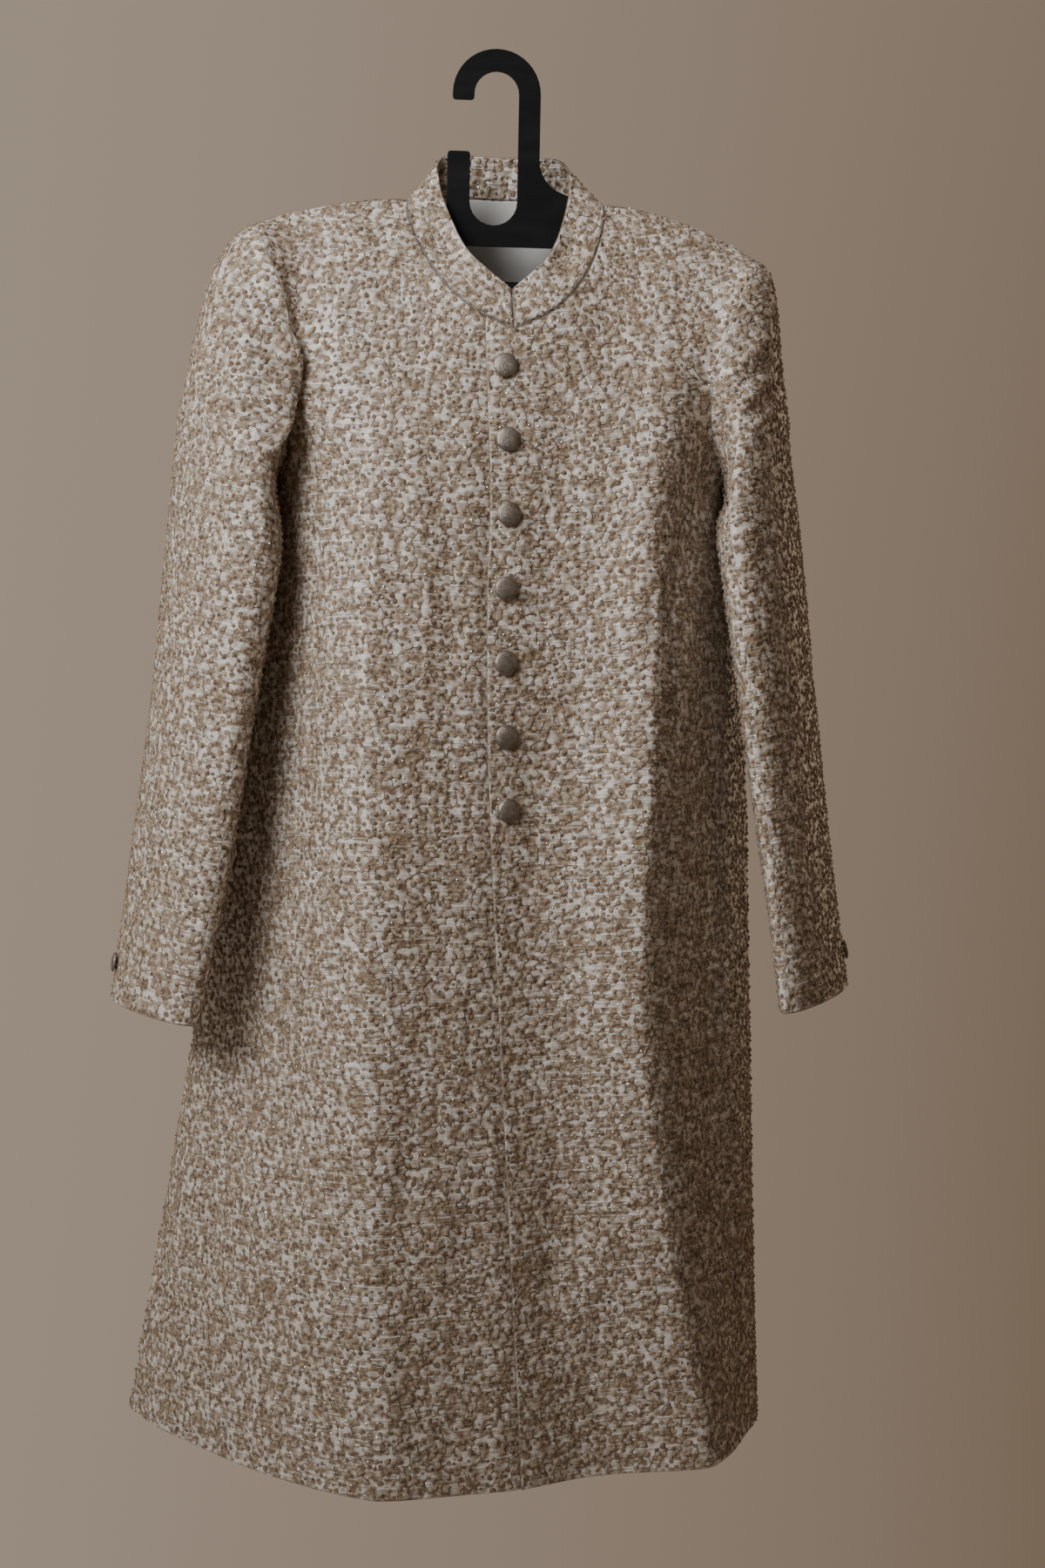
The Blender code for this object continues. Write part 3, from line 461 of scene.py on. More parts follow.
def below_chest(spans):
    """Rows of points from the chest to the hem."""
    places = [row / WAIST_ROWS for row in range(WAIST_ROWS)]
    places += [1 + row / HIP_ROWS for row in range(HIP_ROWS)]
    places += [2 + row / HEM_ROWS for row in range(HEM_ROWS + 1)]
    return np.array([rounded_span(section(place), list(LINES), spans) for place in places])


def scye_swell(side, is_back):
    """How far the armhole's middle stands from the side line's middle."""
    hole = ARMHOLES[side]
    depth = hole.back_y if is_back else hole.front_y
    return np.array((hole.scoop, depth - SCYE_UNDER * hole.under[1], 0.0))


def above_chest(lower, places, is_back):
    """Rows from the shoulders and neck down to the chest, less the chest."""
    chest = lower[0]
    slope = (lower[1] - lower[0]) / (lower[1] - lower[0])[:, 2:3]
    top = np.array([top_point(place, is_back) for place in places])
    fall = chest[:, 2] - top[:, 2]
    fullness = np.interp(np.abs(places), *FULLNESS)
    rows = []
    for row in range(CHEST_ROWS):
        t = (1 - math.cos(math.pi * row / CHEST_ROWS)) / 2
        points = top + (chest - top) * t
        ease = (1 - (1 - t) ** fullness) ** (1 / fullness)
        points[:, 1] = top[:, 1] + (chest[:, 1] - top[:, 1]) * ease
        points[:, 0] -= (slope[:, 0] * fall + chest[:, 0] - top[:, 0]) * t * t * (t - 1)
        points[:, 1] -= slope[:, 1] * fall * t * t * (t - 1)
        turn = 180.0 * row / CHEST_ROWS
        for side, edge in (("right", -2.0), ("left", 2.0)):
            column = int(np.argmin(np.abs(places - edge)))
            target = armhole(side, turn if is_back else 360.0 - turn)
            if row == 0:
                target = points[column]
            reach = np.clip(2.0 - np.abs(places), 0.0, 1.0)
            fade = np.where(places * edge > 0, (1 - reach) ** 2, 0.0)[:, None]
            soften = np.clip(reach / SCYE_SOFT, 0.0, 1.0)[:, None]
            at_edge = target - points[column]
            swell = scye_swell(side, is_back) * math.sin(math.pi * t) ** 2
            points = points + (at_edge * (1 - soften) + swell * soften) * fade
        rows.append(points)
    return np.array(rows)


def body_sheet(spans, is_back):
    places = top_places(spans)
    lower = below_chest(spans)
    grid = np.concatenate((above_chest(lower, places, is_back), lower), axis=0)
    inside = grid[: CHEST_ROWS + 3]
    for _ in range(RELAX_ROUNDS):
        around = inside[:-2, 1:-1] + inside[2:, 1:-1] + inside[1:-1, :-2] + inside[1:-1, 2:]
        kept = RELAX_KEEP * inside[1:-1, 1:-1]
        inside[1:-1, 1:-1] = kept + (1 - RELAX_KEEP) / 4 * around
    return grid, places


front, front_places = body_sheet(FRONT_SPANS, False)
back, back_places = body_sheet(BACK_SPANS, True)
print("front", front.shape, "back", back.shape)

# %% [markdown]
# A stand collar is one stiffened band, from the neck seam up to its edge, and
# open in front. Its points are set at the same angles as those of the panels
# below, so that both meet along the seam. It dents a little on each side,
# where the band bends round from the front to the neck.

# %% The standing collar


def collar_angles():
    """The stand's columns match the panels' columns along the neck seam."""
    neck = 180.0 - SHOULDER_ANGLE
    angles = [(place * SHOULDER_ANGLE) % 360.0 for place in front_places if -1.0 < place < 0]
    angles += [place * SHOULDER_ANGLE for place in front_places if 0.0 <= place <= 1.0]
    angles += [180.0 - place * neck for place in back_places if -1.0 <= place < 1.0]
    return np.array(sorted(set(np.round(angles + [360.0], 3))))


def collar_sheet(angles):
    rows = []
    for row in range(COLLAR_ROWS + 1):
        share = 1 - row / COLLAR_ROWS
        points = []
        for angle in angles:
            seam = collar_curve(angle, 1)
            top = collar_curve(angle, 2)
            if angle in (angles[0], angles[-1]):
                inward = 1.0 if angle == angles[0] else -1.0
                seam[0] += inward * SEAM_GAP
                top[0] += inward * SEAM_GAP
            seam = seam + unit(top - seam) * SEAM_GAP
            point = seam + (top - seam) * share
            around = min(angle, 360.0 - angle)
            dent = math.exp(-((around - DENT_ANGLE) / DENT_SPREAD) ** 2)
            centre = np.array((NECK_X, 0.0, point[2]))
            depth = COLLAR_DENT * dent * math.sin(math.pi * share) ** 2
            point = point + unit(centre - point) * depth
            points.append(point)
        rows.append(points)
    return np.array(rows)


neck_angles = collar_angles()
stand = collar_sheet(neck_angles)
stand_out = sheet_normals(stand)
if (stand_out[:, :, 1] * stand[:, :, 1]).mean() < 0:
    stand_out = -stand_out
print("collar", stand.shape)

# %% [markdown]
# Two panels that are sewn together face the same way at their seam. Worked out
# for each panel alone, their normals would differ there, and the walls would
# part. So they are averaged along the side seams, taken from the collar round
# the neck, turned up along the shoulders and taken from the armholes.

# %% Which way the cloth faces at the seams


def shared_normals():
    front_out = sheet_normals(front)
    back_out = sheet_normals(back)
    for side_front, side_back in ((0, -1), (-1, 0)):
        both = unit(front_out[CHEST_ROWS:, side_front] + back_out[CHEST_ROWS:, side_back])
        front_out[CHEST_ROWS:, side_front] = both
        back_out[CHEST_ROWS:, side_back] = both
    sheets = ((front_places, front_out, False), (back_places, back_out, True))
    for places, normals, is_back in sheets:
        for column, place in enumerate(places):
            angle = place_angle(max(-1.0, min(1.0, place)), is_back)
            turn = np.abs((neck_angles - angle + 180.0) % 360.0 - 180.0)
            at_neck = stand_out[-1, int(np.argmin(turn))]
            share = np.clip((abs(place) - 1.0) / NECK_BLEND, 0.0, 1.0)
            normals[0, column] = unit(at_neck * (1 - share) + np.array((0.0, 0.0, 1.0)) * share)
    for side, column_front, column_back in (("right", 0, -1), ("left", -1, 0)):
        for row in range(CHEST_ROWS):
            turn = 180.0 * row / CHEST_ROWS
            front_out[row, column_front] = armhole_radial(side, 360.0 - turn)
            back_out[row, column_back] = armhole_radial(side, turn)
    return front_out, back_out


front_out, back_out = shared_normals()
print("normals agree along", 2 * (len(front) - CHEST_ROWS), "points of side seam")

# %% [markdown]
# Each sleeve is a tube of tilted rings, from the armhole to the cuff. The
# tables give each ring's outer and inner ends. Where the tube would touch the
# body, its points are pushed out level, the way a hanging arm of cloth rests
# beside the coat and not in it.

# %% The sleeves as rings


def sleeve_sheet(side):
    """Rings of points down one sleeve, closed round."""
    steps = 2 * CHEST_ROWS
    outboard = np.array((-1.0 if side == "right" else 1.0, 0.0, 0.0))
    head = [armhole(side, 360.0 * k / steps) + outboard * SLEEVE_HEAD_GAP for k in range(steps)]
    key_rings = [head]
    for number, (outer, inner, half_depth) in enumerate(SLEEVES[side]):
        cap_scoop = ARMHOLES[side].scoop * max(0.0, 1 - (number + 1) / CAP_RINGS)
        middle = (np.array(outer) + np.array(inner)) / 2
        reach = (np.array(outer) - np.array(inner)) / 2
        depth = np.array((0.0, half_depth, 0.0))
        ring = []
        for k in range(steps):
            turn = 2 * math.pi * k / steps
            point = middle + reach * math.cos(turn) + depth * math.sin(turn)
            point[0] += cap_scoop * scoop_shape(turn)
            ring.append(point)
        key_rings.append(ring)
    key_rings = np.array(key_rings)
    travel = np.linalg.norm(np.diff(key_rings.mean(axis=1), axis=0), axis=-1)
    knots = np.concatenate(((0.0,), np.cumsum(travel)))
    share = np.linspace(0.0, 1.0, SLEEVE_RINGS + 1) ** RING_CROWDING
    return smooth_through(knots, key_rings, knots[-1] * share)


def surface_tree(*grids):
    """A search tree over one or more grids of points, facing out."""
    points = []
    faces = []
    for grid in grids:
        rows, columns = grid.shape[:2]
        first = len(points)
        points += [Vector(point) for point in grid.reshape(-1, 3)]
        for r in range(rows - 1):
            for c in range(columns - 1):
                corner = first + r * columns + c
                faces.append((corner, corner + columns, corner + columns + 1, corner + 1))
    return BVHTree.FromPolygons(points, faces)


def keep_clear(rings, tree):
    """Move the underarm's points that would lie in the body off its surface."""
    steps = rings.shape[1]
    for ring in rings[1:]:
        for k, point in enumerate(ring):
            near, normal = tree.find_nearest(Vector(point))[:2]
            depth = (Vector(point) - near).dot(normal)
            faces_body = math.cos(2 * math.pi * k / steps) < BODY_SIDE
            if faces_body and -DEEPEST_PRESS < depth < BODY_CLEARANCE:
                push = np.array((normal.x, normal.y, 0.0))
                point += unit(push) * (BODY_CLEARANCE - depth)


sleeve_rings = {}
body_tree = surface_tree(front, back)
for side in SLEEVES:
    sleeve_rings[side] = sleeve_sheet(side)
    keep_clear(sleeve_rings[side], body_tree)
print("sleeve rings:", {side: rings.shape for side, rings in sleeve_rings.items()})

# %% [markdown]
# The rows and columns so far are about five centimetres apart. Each sheet is
# now drawn again on an even mesh of a few millimetres, with two closer lines
# along every edge, so that the cloth can roll into its seams. Each is also
# laid out flat in metres, as a pattern cutter would: first row by row, then
# let go until no thread is stretched. That layout is the UV map, so patterns
# lie on the silk as they were woven and stitched, whatever the fold.
# Unwrapping would do it too, but not to scale.

# %% An even mesh for each panel
CLOTH_CELL = 0.0070
SEAM_LINES = (0.0014, 0.0034)       # distances of the two extra lines from an edge


def even_places(grid, axis, cell):
    """Places along a grid's axis that are one cell apart, closer at both ends."""
    steps = np.linalg.norm(np.diff(grid, axis=axis), axis=-1).mean(axis=1 - axis)
    travel = np.concatenate(((0.0,), np.cumsum(steps)))
    count = max(4, int(round(travel[-1] / cell)))
    inside = np.linspace(0.0, travel[-1], count + 1)[1:-1]
    near = np.array(SEAM_LINES)
    wanted = np.concatenate(((0.0,), near, inside, travel[-1] - near[::-1], (travel[-1],)))
    return np.interp(wanted, travel, np.arange(len(travel)))


def finer(grid, rows, columns):
    """The same sheet at other places down and across it."""
    grid = smooth_through(np.arange(grid.shape[0]), grid, rows)
    turned = grid.transpose(1, 0, 2)
    return smooth_through(np.arange(turned.shape[0]), turned, columns).transpose(1, 0, 2)


print("rows and columns of the front:",
      len(even_places(front, 0, CLOTH_CELL)), len(even_places(front, 1, CLOTH_CELL)))

# %% The flat layout of a panel
SETTLE_ROUNDS = 500
SETTLE_STEP = 1.6        # over 2 the layout would swing and never rest
LEAST_AREA = 0.35        # of a corner's true area, in the flat layout


def squared(grid, normals, middle_row, middle_column):
    """First flat layout: true lengths across, and rows their usual distance apart."""
    across = np.diff(grid, axis=1)
    down = np.diff(grid, axis=0)
    u = np.zeros(grid.shape[:2])
    u[:, 1:] = np.cumsum(np.linalg.norm(across, axis=-1), axis=1)
    v = np.concatenate(((0.0,), np.cumsum(np.median(np.linalg.norm(down, axis=-1), axis=1))))
    turned = (np.cross(across[:-1], -down[:, :-1]) * normals[:-1, :-1]).sum(axis=-1).mean()
    u = (u - u[:, middle_column][:, None]) * (1.0 if turned > 0 else -1.0)
    return np.stack((u, np.broadcast_to((v[middle_row] - v)[:, None], u.shape)), axis=-1)


def corners_of(rows, columns):
    """The four corner triangles of each cell, as point numbers."""
    index = np.arange(rows * columns).reshape(rows, columns)
    cell = (index[:-1, :-1], index[:-1, 1:], index[1:, 1:], index[1:, :-1])
    cell = [corner.ravel() for corner in cell]
    corners = [(cell[k], cell[(k + 1) % 4], cell[k - 1]) for k in range(4)]
    return np.concatenate([np.stack(corner, axis=-1) for corner in corners])


def flat_area(flat, corners):
    """Twice the signed area of each corner triangle in the flat layout."""
    a, b, c = (flat.reshape(-1, 2)[corners[:, k]] for k in range(3))
    return (b - a)[:, 0] * (c - a)[:, 1] - (b - a)[:, 1] * (c - a)[:, 0]


def unfold(flat, corners, least, side):
    """Push open each corner whose area, on the layout's side, is under its least."""
    short = least - flat_area(flat, corners) * side
    thin = corners[short > 0]
    points = flat.reshape(-1, 2).copy()
    a, b, c = (points[thin[:, k]] for k in range(3))
    pushes = [np.stack((-way[:, 1], way[:, 0]), axis=-1) for way in (c - b, a - c, b - a)]
    share = 0.5 * short[short > 0] * side / sum((push ** 2).sum(axis=-1) for push in pushes)
    for k, push in enumerate(pushes):
        np.add.at(points, thin[:, k], push * share[:, None])
    return points.reshape(flat.shape)


def settle_flat(grid, flat):
    """Pull a flat layout about until every step, also askew, has its true length."""
    rows, columns = grid.shape[:2]
    ties = []
    for down, right in ((0, 1), (1, 0), (1, 1), (1, -1)):
        left = max(0, -right)
        near = (slice(0, rows - down), slice(left, columns - max(0, right)))
        far = (slice(down, rows), slice(left + right, columns - max(0, right) + right))
        ties.append((near, far, np.linalg.norm(grid[far] - grid[near], axis=-1, keepdims=True)))
    touching = np.zeros((rows, columns, 1))
    for near, far, _ in ties:
        touching[near] += 1
        touching[far] += 1
    corners = corners_of(rows, columns)
    a, b, c = (grid.reshape(-1, 3)[corners[:, k]] for k in range(3))
    least = np.linalg.norm(np.cross(b - a, c - a), axis=-1) * LEAST_AREA
    side = np.sign(np.median(flat_area(flat, corners)))
    for _ in range(SETTLE_ROUNDS):
        shift = np.zeros_like(flat)
        for near, far, length in ties:
            gap = flat[far] - flat[near]
            pull = gap * (0.5 - 0.5 * length / np.linalg.norm(gap, axis=-1, keepdims=True))
            shift[near] += pull
            shift[far] -= pull
        flat = unfold(flat + shift * (SETTLE_STEP / touching), corners, least, side)
    return flat


print("corner triangles of 3 x 3 points:", len(corners_of(3, 3)))

# %% [markdown]
# Stiff silk hangs in a few broad folds, which the sections already give, and
# in many shallow ones: pulls from the shoulder, ripples beside the button
# line, puckers where the sleeve is eased into the armhole. A cloth simulation
# would make such folds at random. Here each has its own place, because a coat
# is recognised by them. A crease is a straight soft ridge, or a trough when
# its depth is negative, drawn on the cloth as it is seen from one side.

# %% Creases placed one by one
CREASES = {
    "body": {
        "front": (
            # start, across and z  end             width   depth
            ((-0.086, -0.293), (-0.082, -0.604), 0.0090, 0.0020),
            ((-0.111, -0.340), (-0.115, -0.640), 0.0085, -0.0022),
            ((-0.063, -0.401), (-0.066, -0.714), 0.0070, -0.0014),
            ((-0.055, -0.690), (-0.075, -1.030), 0.0075, 0.0020),
            ((-0.081, -1.010), (-0.096, -1.120), 0.0085, 0.0030),
            ((-0.107, -0.940), (-0.125, -1.060), 0.0120, -0.0034),
            ((-0.148, -1.110), (-0.130, -1.275), 0.0100, 0.0022),
            ((0.170, -0.235), (0.078, -0.570), 0.0240, 0.0052),
            ((0.203, -0.286), (0.122, -0.560), 0.0170, -0.0045),
            ((0.055, -0.262), (0.015, -0.545), 0.0160, -0.0030),
            ((-0.124, -0.190), (-0.138, -0.370), 0.0150, -0.0030),
            ((-0.168, -0.340), (-0.176, -0.680), 0.0130, 0.0022),
            ((0.018, -0.550), (-0.004, -0.850), 0.0130, -0.0020),
            ((0.066, -1.030), (0.026, -1.215), 0.0210, 0.0034),
            ((0.030, -0.960), (0.002, -1.180), 0.0150, -0.0022),
            ((0.112, -0.820), (0.145, -1.110), 0.0140, 0.0030),
            ((-0.248, -0.930), (-0.288, -1.215), 0.0240, 0.0036),
            ((-0.215, -0.760), (-0.232, -1.020), 0.0170, -0.0026),
            ((-0.176, -0.220), (-0.152, -0.370), 0.0110, 0.0022),
            ((-0.048, -0.300), (-0.044, -0.500), 0.0065, 0.0012),
        ),
        "left": (
            ((0.030, -0.500), (0.060, -0.900), 0.0170, -0.0030),
            ((0.010, -0.760), (0.036, -1.180), 0.0200, 0.0038),
        ),
        "right": (
            ((0.034, -0.520), (0.075, -0.980), 0.0190, 0.0034),
            ((0.010, -0.860), (0.040, -1.200), 0.0170, -0.0030),
        ),
        "back": (
            ((-0.120, -0.230), (-0.064, -0.560), 0.0220, 0.0046),
            ((0.122, -0.250), (0.058, -0.590), 0.0200, 0.0042),
            ((-0.168, -0.330), (-0.112, -0.580), 0.0150, -0.0034),
            ((0.026, -0.300), (0.020, -0.640), 0.0100, -0.0020),
            ((-0.020, -0.520), (-0.034, -0.900), 0.0130, 0.0026),
            ((0.072, -0.640), (0.090, -1.020), 0.0180, -0.0034),
            ((-0.110, -0.700), (-0.150, -1.110), 0.0180, -0.0036),
            ((0.020, -0.900), (0.012, -1.230), 0.0150, 0.0030),
            ((-0.200, -0.930), (-0.240, -1.220), 0.0160, 0.0030),
            ((0.130, -1.020), (0.128, -1.260), 0.0130, 0.0024),
        ),
    },
    "collar": {
        "front": (
            ((-0.078, -0.146), (-0.036, -0.172), 0.0100, -0.0050),
            ((0.038, -0.178), (0.076, -0.157), 0.0100, -0.0050),
            ((-0.030, -0.196), (-0.012, -0.224), 0.0060, 0.0012),
        ),
    },
    "sleeve_right": {
        "front": (
            ((-0.272, -0.290), (-0.204, -0.331), 0.0070, 0.0030),
            ((-0.258, -0.320), (-0.204, -0.350), 0.0060, -0.0026),
            ((-0.262, -0.256), (-0.207, -0.300), 0.0065, -0.0020),
            ((-0.264, -0.352), (-0.210, -0.386), 0.0070, 0.0018),
            ((-0.304, -0.508), (-0.238, -0.545), 0.0100, 0.0016),
            ((-0.308, -0.556), (-0.246, -0.592), 0.0090, -0.0015),
            ((-0.216, -0.185), (-0.240, -0.285), 0.0085, 0.0016),
        ),
        "left": (
            ((-0.078, -0.332), (0.036, -0.362), 0.0200, 0.0085),
            ((-0.110, -0.398), (0.016, -0.412), 0.0280, -0.0060),
        ),
        "right": (
            ((-0.030, -0.260), (0.030, -0.330), 0.0090, 0.0022),
            ((-0.024, -0.500), (0.034, -0.560), 0.0120, -0.0020),
        ),
        "back": (
            ((-0.292, -0.300), (-0.232, -0.352), 0.0090, 0.0026),
            ((-0.300, -0.360), (-0.238, -0.396), 0.0090, -0.0022),
            ((-0.318, -0.520), (-0.258, -0.566), 0.0110, 0.0020),
        ),
    },
    "sleeve_left": {
        "front": (
            ((0.244, -0.246), (0.200, -0.289), 0.0055, 0.0026),
            ((0.250, -0.276), (0.203, -0.320), 0.0055, 0.0030),
            ((0.253, -0.304), (0.207, -0.351), 0.0055, 0.0028),
            ((0.256, -0.336), (0.213, -0.383), 0.0060, 0.0020),
            ((0.247, -0.262), (0.202, -0.304), 0.0050, -0.0016),
            ((0.252, -0.290), (0.205, -0.336), 0.0050, -0.0018),
            ((0.222, -0.540), (0.258, -0.566), 0.0090, 0.0014),
            ((0.224, -0.582), (0.264, -0.604), 0.0085, -0.0013),
        ),
        "left": (
            ((-0.030, -0.280), (0.034, -0.350), 0.0090, 0.0022),
            ((-0.018, -0.520), (0.044, -0.580), 0.0120, -0.0020),
        ),
        "back": (
            ((0.262, -0.330), (0.214, -0.380), 0.0090, 0.0026),
            ((0.268, -0.390), (0.218, -0.426), 0.0090, -0.0020),
            ((0.286, -0.540), (0.236, -0.584), 0.0110, 0.0018),
        ),
    },
}
for piece, sides in CREASES.items():
    print("creases of", piece + ":", sum(len(rows) for rows in sides.values()))

# %% How a crease lifts the cloth
Crease = namedtuple("Crease", "seen_from start end width depth")
SIDES = {
    # seen from   across, outward
    "front": ((1, 0, 0), (0, -1, 0)),
    "back": ((1, 0, 0), (0, 1, 0)),
    "right": ((0, 1, 0), (-1, 0, 0)),
    "left": ((0, 1, 0), (1, 0, 0)),
}
CREASE_TAPER = 0.35      # share of a crease, at each end, over which it dies out
FACING_GAIN = 2.0        # how soon a crease fades where the cloth turns away


def creases_of(piece):
    sides = CREASES[piece].items()
    return [Crease(side, *row) for side, rows in sides for row in rows]


def crease_heights(grid, normals, creases):
    """How far each point of the cloth stands out for its creases."""
    height = np.zeros(grid.shape[:2])
    for crease in creases:
        across, outward = (np.array(axis) for axis in SIDES[crease.seen_from])
        seen = np.stack((grid @ across, grid[:, :, 2]), axis=-1)
        start, end = np.array(crease.start), np.array(crease.end)
        run = end - start
        along = ((seen - start) @ run) / (run @ run)
        beside = seen - start - np.clip(along, 0.0, 1.0)[..., None] * run
        distance = np.linalg.norm(beside, axis=-1)
        ends = np.clip(np.minimum(along, 1 - along) / CREASE_TAPER, 0.0, 1.0)
        ends = ends * ends * (3 - 2 * ends)
        facing = np.clip(normals @ outward * FACING_GAIN, 0.0, 1.0)
        height += crease.depth * np.exp(-(distance / crease.width) ** 2) * ends * facing
    return height


heights = crease_heights(front, front_out, creases_of("body"))
print(f"creases of the front: {heights.min():.4f} to {heights.max():.4f} m")

# %% [markdown]
# Each panel can now be drawn: even, with its creases, and rolled in a little
# along every sewn edge. Its points also carry how much painted shadow the silk
# gets along a seam at the neck, where the cloth rolls into the seam.

# %% Drawing a panel
# a panel's seam field holds each point's share of painted shadow along the neck seam
Panel = namedtuple("Panel", "name outer normals uv flat area seam")
SEAM_TUCK = 0.0009       # how far a sewn edge sinks
SEAM_REACH = 0.0030
NECK_MIDDLE = (0.0, 0.0, -0.130)
NECK_REACH = 0.150       # from there, within which a seam gets a painted shadow
NECK_FADE = 0.020
panels = {}


def seam_tuck(grid, sewn):
    """Depth to which the cloth rolls in towards its sewn edges."""
    rows, columns = grid.shape[:2]
    tuck = np.zeros((rows, columns))
    lines = {"top": (0, 0), "bottom": (0, rows - 1), "first": (1, 0), "last": (1, columns - 1)}
    for name in sewn:
        axis, index = lines[name]
        edge = np.take(grid, [index], axis=axis)
        distance = np.linalg.norm(grid - edge, axis=-1)
        tuck = np.maximum(tuck, SEAM_TUCK * np.exp(-(distance / SEAM_REACH) ** 2))
    return tuck


def make_panel(name, grid, normals, creases=(), sewn=(), middle=(0, 0), cell=CLOTH_CELL):
    """Draw a panel evenly, with its creases and its tucked seams."""
    rows = even_places(grid, 0, cell)
    columns = even_places(grid, 1, cell)
    flat = finer(grid, rows, columns)
    out = unit(finer(normals, rows, columns))
    uv = finer(settle_flat(grid, squared(grid, normals, *middle)), rows, columns)
    corner = flat[:-1, :-1]
    cells = np.linalg.norm(np.cross(flat[1:, :-1] - corner, flat[:-1, 1:] - corner), axis=-1)
    size = uv.reshape(-1, 2).max(axis=0) - uv.reshape(-1, 2).min(axis=0)
    tuck = seam_tuck(flat, sewn)
    height = crease_heights(flat, out, creases) - tuck
    outer = flat + out * height[..., None]
    from_neck = np.linalg.norm(flat - NECK_MIDDLE, axis=-1)
    neck_shadow_reach = np.clip((NECK_REACH - from_neck) / NECK_FADE, 0.0, 1.0)
    # painted shadow along the tucked neck seam: its share at each point
    shade = seam_tuck(flat, sewn if name == "collar" else ("top",)) / SEAM_TUCK * neck_shadow_reach
    panels[name] = Panel(name, outer, out, uv, size, float(cells.sum()), shade)
    points = "{} x {} points".format(*flat.shape[:2])
    print(f"{name}: {points}, cut {size[0]:.3f} x {size[1]:.3f} m")


# %% [markdown]
# The wearer's left front laps over the right one and carries the buttons. The
# right front runs on under the lap, so there its points lie one wall deeper.
# The back is cut in two halves, joined by a seam down its middle, because a
# fitted back needs that seam to follow the hollow at the waist.

# %% The panels of the body


def drawn_back(grid, edges, first_row=0):
    """A grid whose sewn edge columns are drawn back by half the seam's gap."""
    grid = grid.copy()
    rows = slice(first_row, None)
    for edge, toward in edges:
        grid[rows, edge] += unit(grid[rows, toward] - grid[rows, edge]) * 0.5 * SEAM_GAP
    return grid


FIRST_SIDE = (0, 1)      # an edge column, and the one it is drawn back towards
LAST_SIDE = (-1, -2)
body_creases = creases_of("body")
edge = FRONT_EDGE_COLUMN

grid = drawn_back(front[:, edge:], (LAST_SIDE,), CHEST_ROWS)
middle = (CHEST_ROWS, 0)
make_panel("front_left", grid, front_out[:, edge:], body_creases, ("top", "last"), middle)

under = slice(0, edge + LAP_CELLS + 1)
inset = np.interp(np.arange(edge + LAP_CELLS + 1), (edge - 1, edge), (0.0, LAP_INSET))
grid = front[:, under] - front_out[:, under] * inset[None, :, None]
grid = drawn_back(grid, (FIRST_SIDE,), CHEST_ROWS)
middle = (CHEST_ROWS, edge)
make_panel("front_right", grid, front_out[:, under], body_creases, ("top", "first"), middle)

seam = int(np.argmin(np.abs(back_places)))
halves = (
    # name, its columns, its side seam, the back seam, where its flat layout starts
    ("back_left", slice(0, seam + 1), FIRST_SIDE, LAST_SIDE, seam),
    ("back_right", slice(seam, None), LAST_SIDE, FIRST_SIDE, 0),
)
for name, columns, side_seam, back_seam, column in halves:
    grid = drawn_back(back[:, columns], (side_seam,), CHEST_ROWS)
    grid = drawn_back(grid, (back_seam,))
    sewn = ("top", "first", "last")
    make_panel(name, grid, back_out[:, columns], body_creases, sewn, (CHEST_ROWS, column))

# %% [markdown]
# The collar bends most, so it is drawn on a finer mesh than the body. Behind
# the neck a strip of the lining shows. It lies just inside the back and starts
# a little below the seam.

# %% The collar and the lining behind the neck
COLLAR_CELL = 0.0040
LINING_TOP = 0.06        # of a row, from the neck seam down to the lining's edge
sewn = ("bottom", "first", "last")
middle = (COLLAR_ROWS, len(neck_angles) // 2)
make_panel("collar", stand, stand_out, creases_of("collar"), sewn, middle, COLLAR_CELL)

neck = np.flatnonzero(np.abs(back_places) <= 1.0)
neck = slice(neck[0], neck[-1] + 1)
outward = back_out[:CHEST_ROWS + 1, neck]
grid = back[:CHEST_ROWS + 1, neck] - outward * (WALL + LINING_GAP)
grid[0] += (grid[1] - grid[0]) * LINING_TOP
make_panel("lining_back", grid, outward, body_creases)

# %% [markdown]
# A coat sleeve is cut in two, an upper piece and one under the arm, so that it
# can follow the arm's bend. Each ring is split at the same two steps, which
# gives a seam in front and one behind.

# %% The four sleeve pieces


def sleeve_panels(side):
    """Two pieces of each sleeve, sewn together behind and in front."""
    rings = sleeve_rings[side]
    steps = rings.shape[1]
    wrapped = np.concatenate((rings[:, -1:], rings, rings[:, :1]), axis=1)
    out = sheet_normals(wrapped)[:, 1:-1]
    centre = rings.mean(axis=1, keepdims=True)
    out = out * np.sign((out * (rings - centre)).sum(axis=-1, keepdims=True).mean())
    out[0] = [armhole_radial(side, 360.0 * k / steps) for k in range(steps)]
    bounds = {
        "upper": (FRONT_SEAM_STEP - steps, BACK_SEAM_STEP),
        "under": (BACK_SEAM_STEP, FRONT_SEAM_STEP),
    }
    creases = creases_of("sleeve_" + side)
    for piece, (start, end) in bounds.items():
        index = np.arange(start, end + 1) % steps
        grid = drawn_back(rings[:, index], (FIRST_SIDE, LAST_SIDE))
        sewn = ("top", "first", "last")
        middle = (0, len(index) // 2)
        make_panel(f"sleeve_{side}_{piece}", grid, out[:, index], creases, sewn, middle)


for side in SLEEVES:
    sleeve_panels(side)

# %% [markdown]
# Node trees for finishes are written here as sums: one small class wraps a
# node's output, and adding or multiplying such outputs adds the Math nodes.
# Colours are blended with Mix nodes, because a Math node would turn them grey.

# %% Sums of node outputs


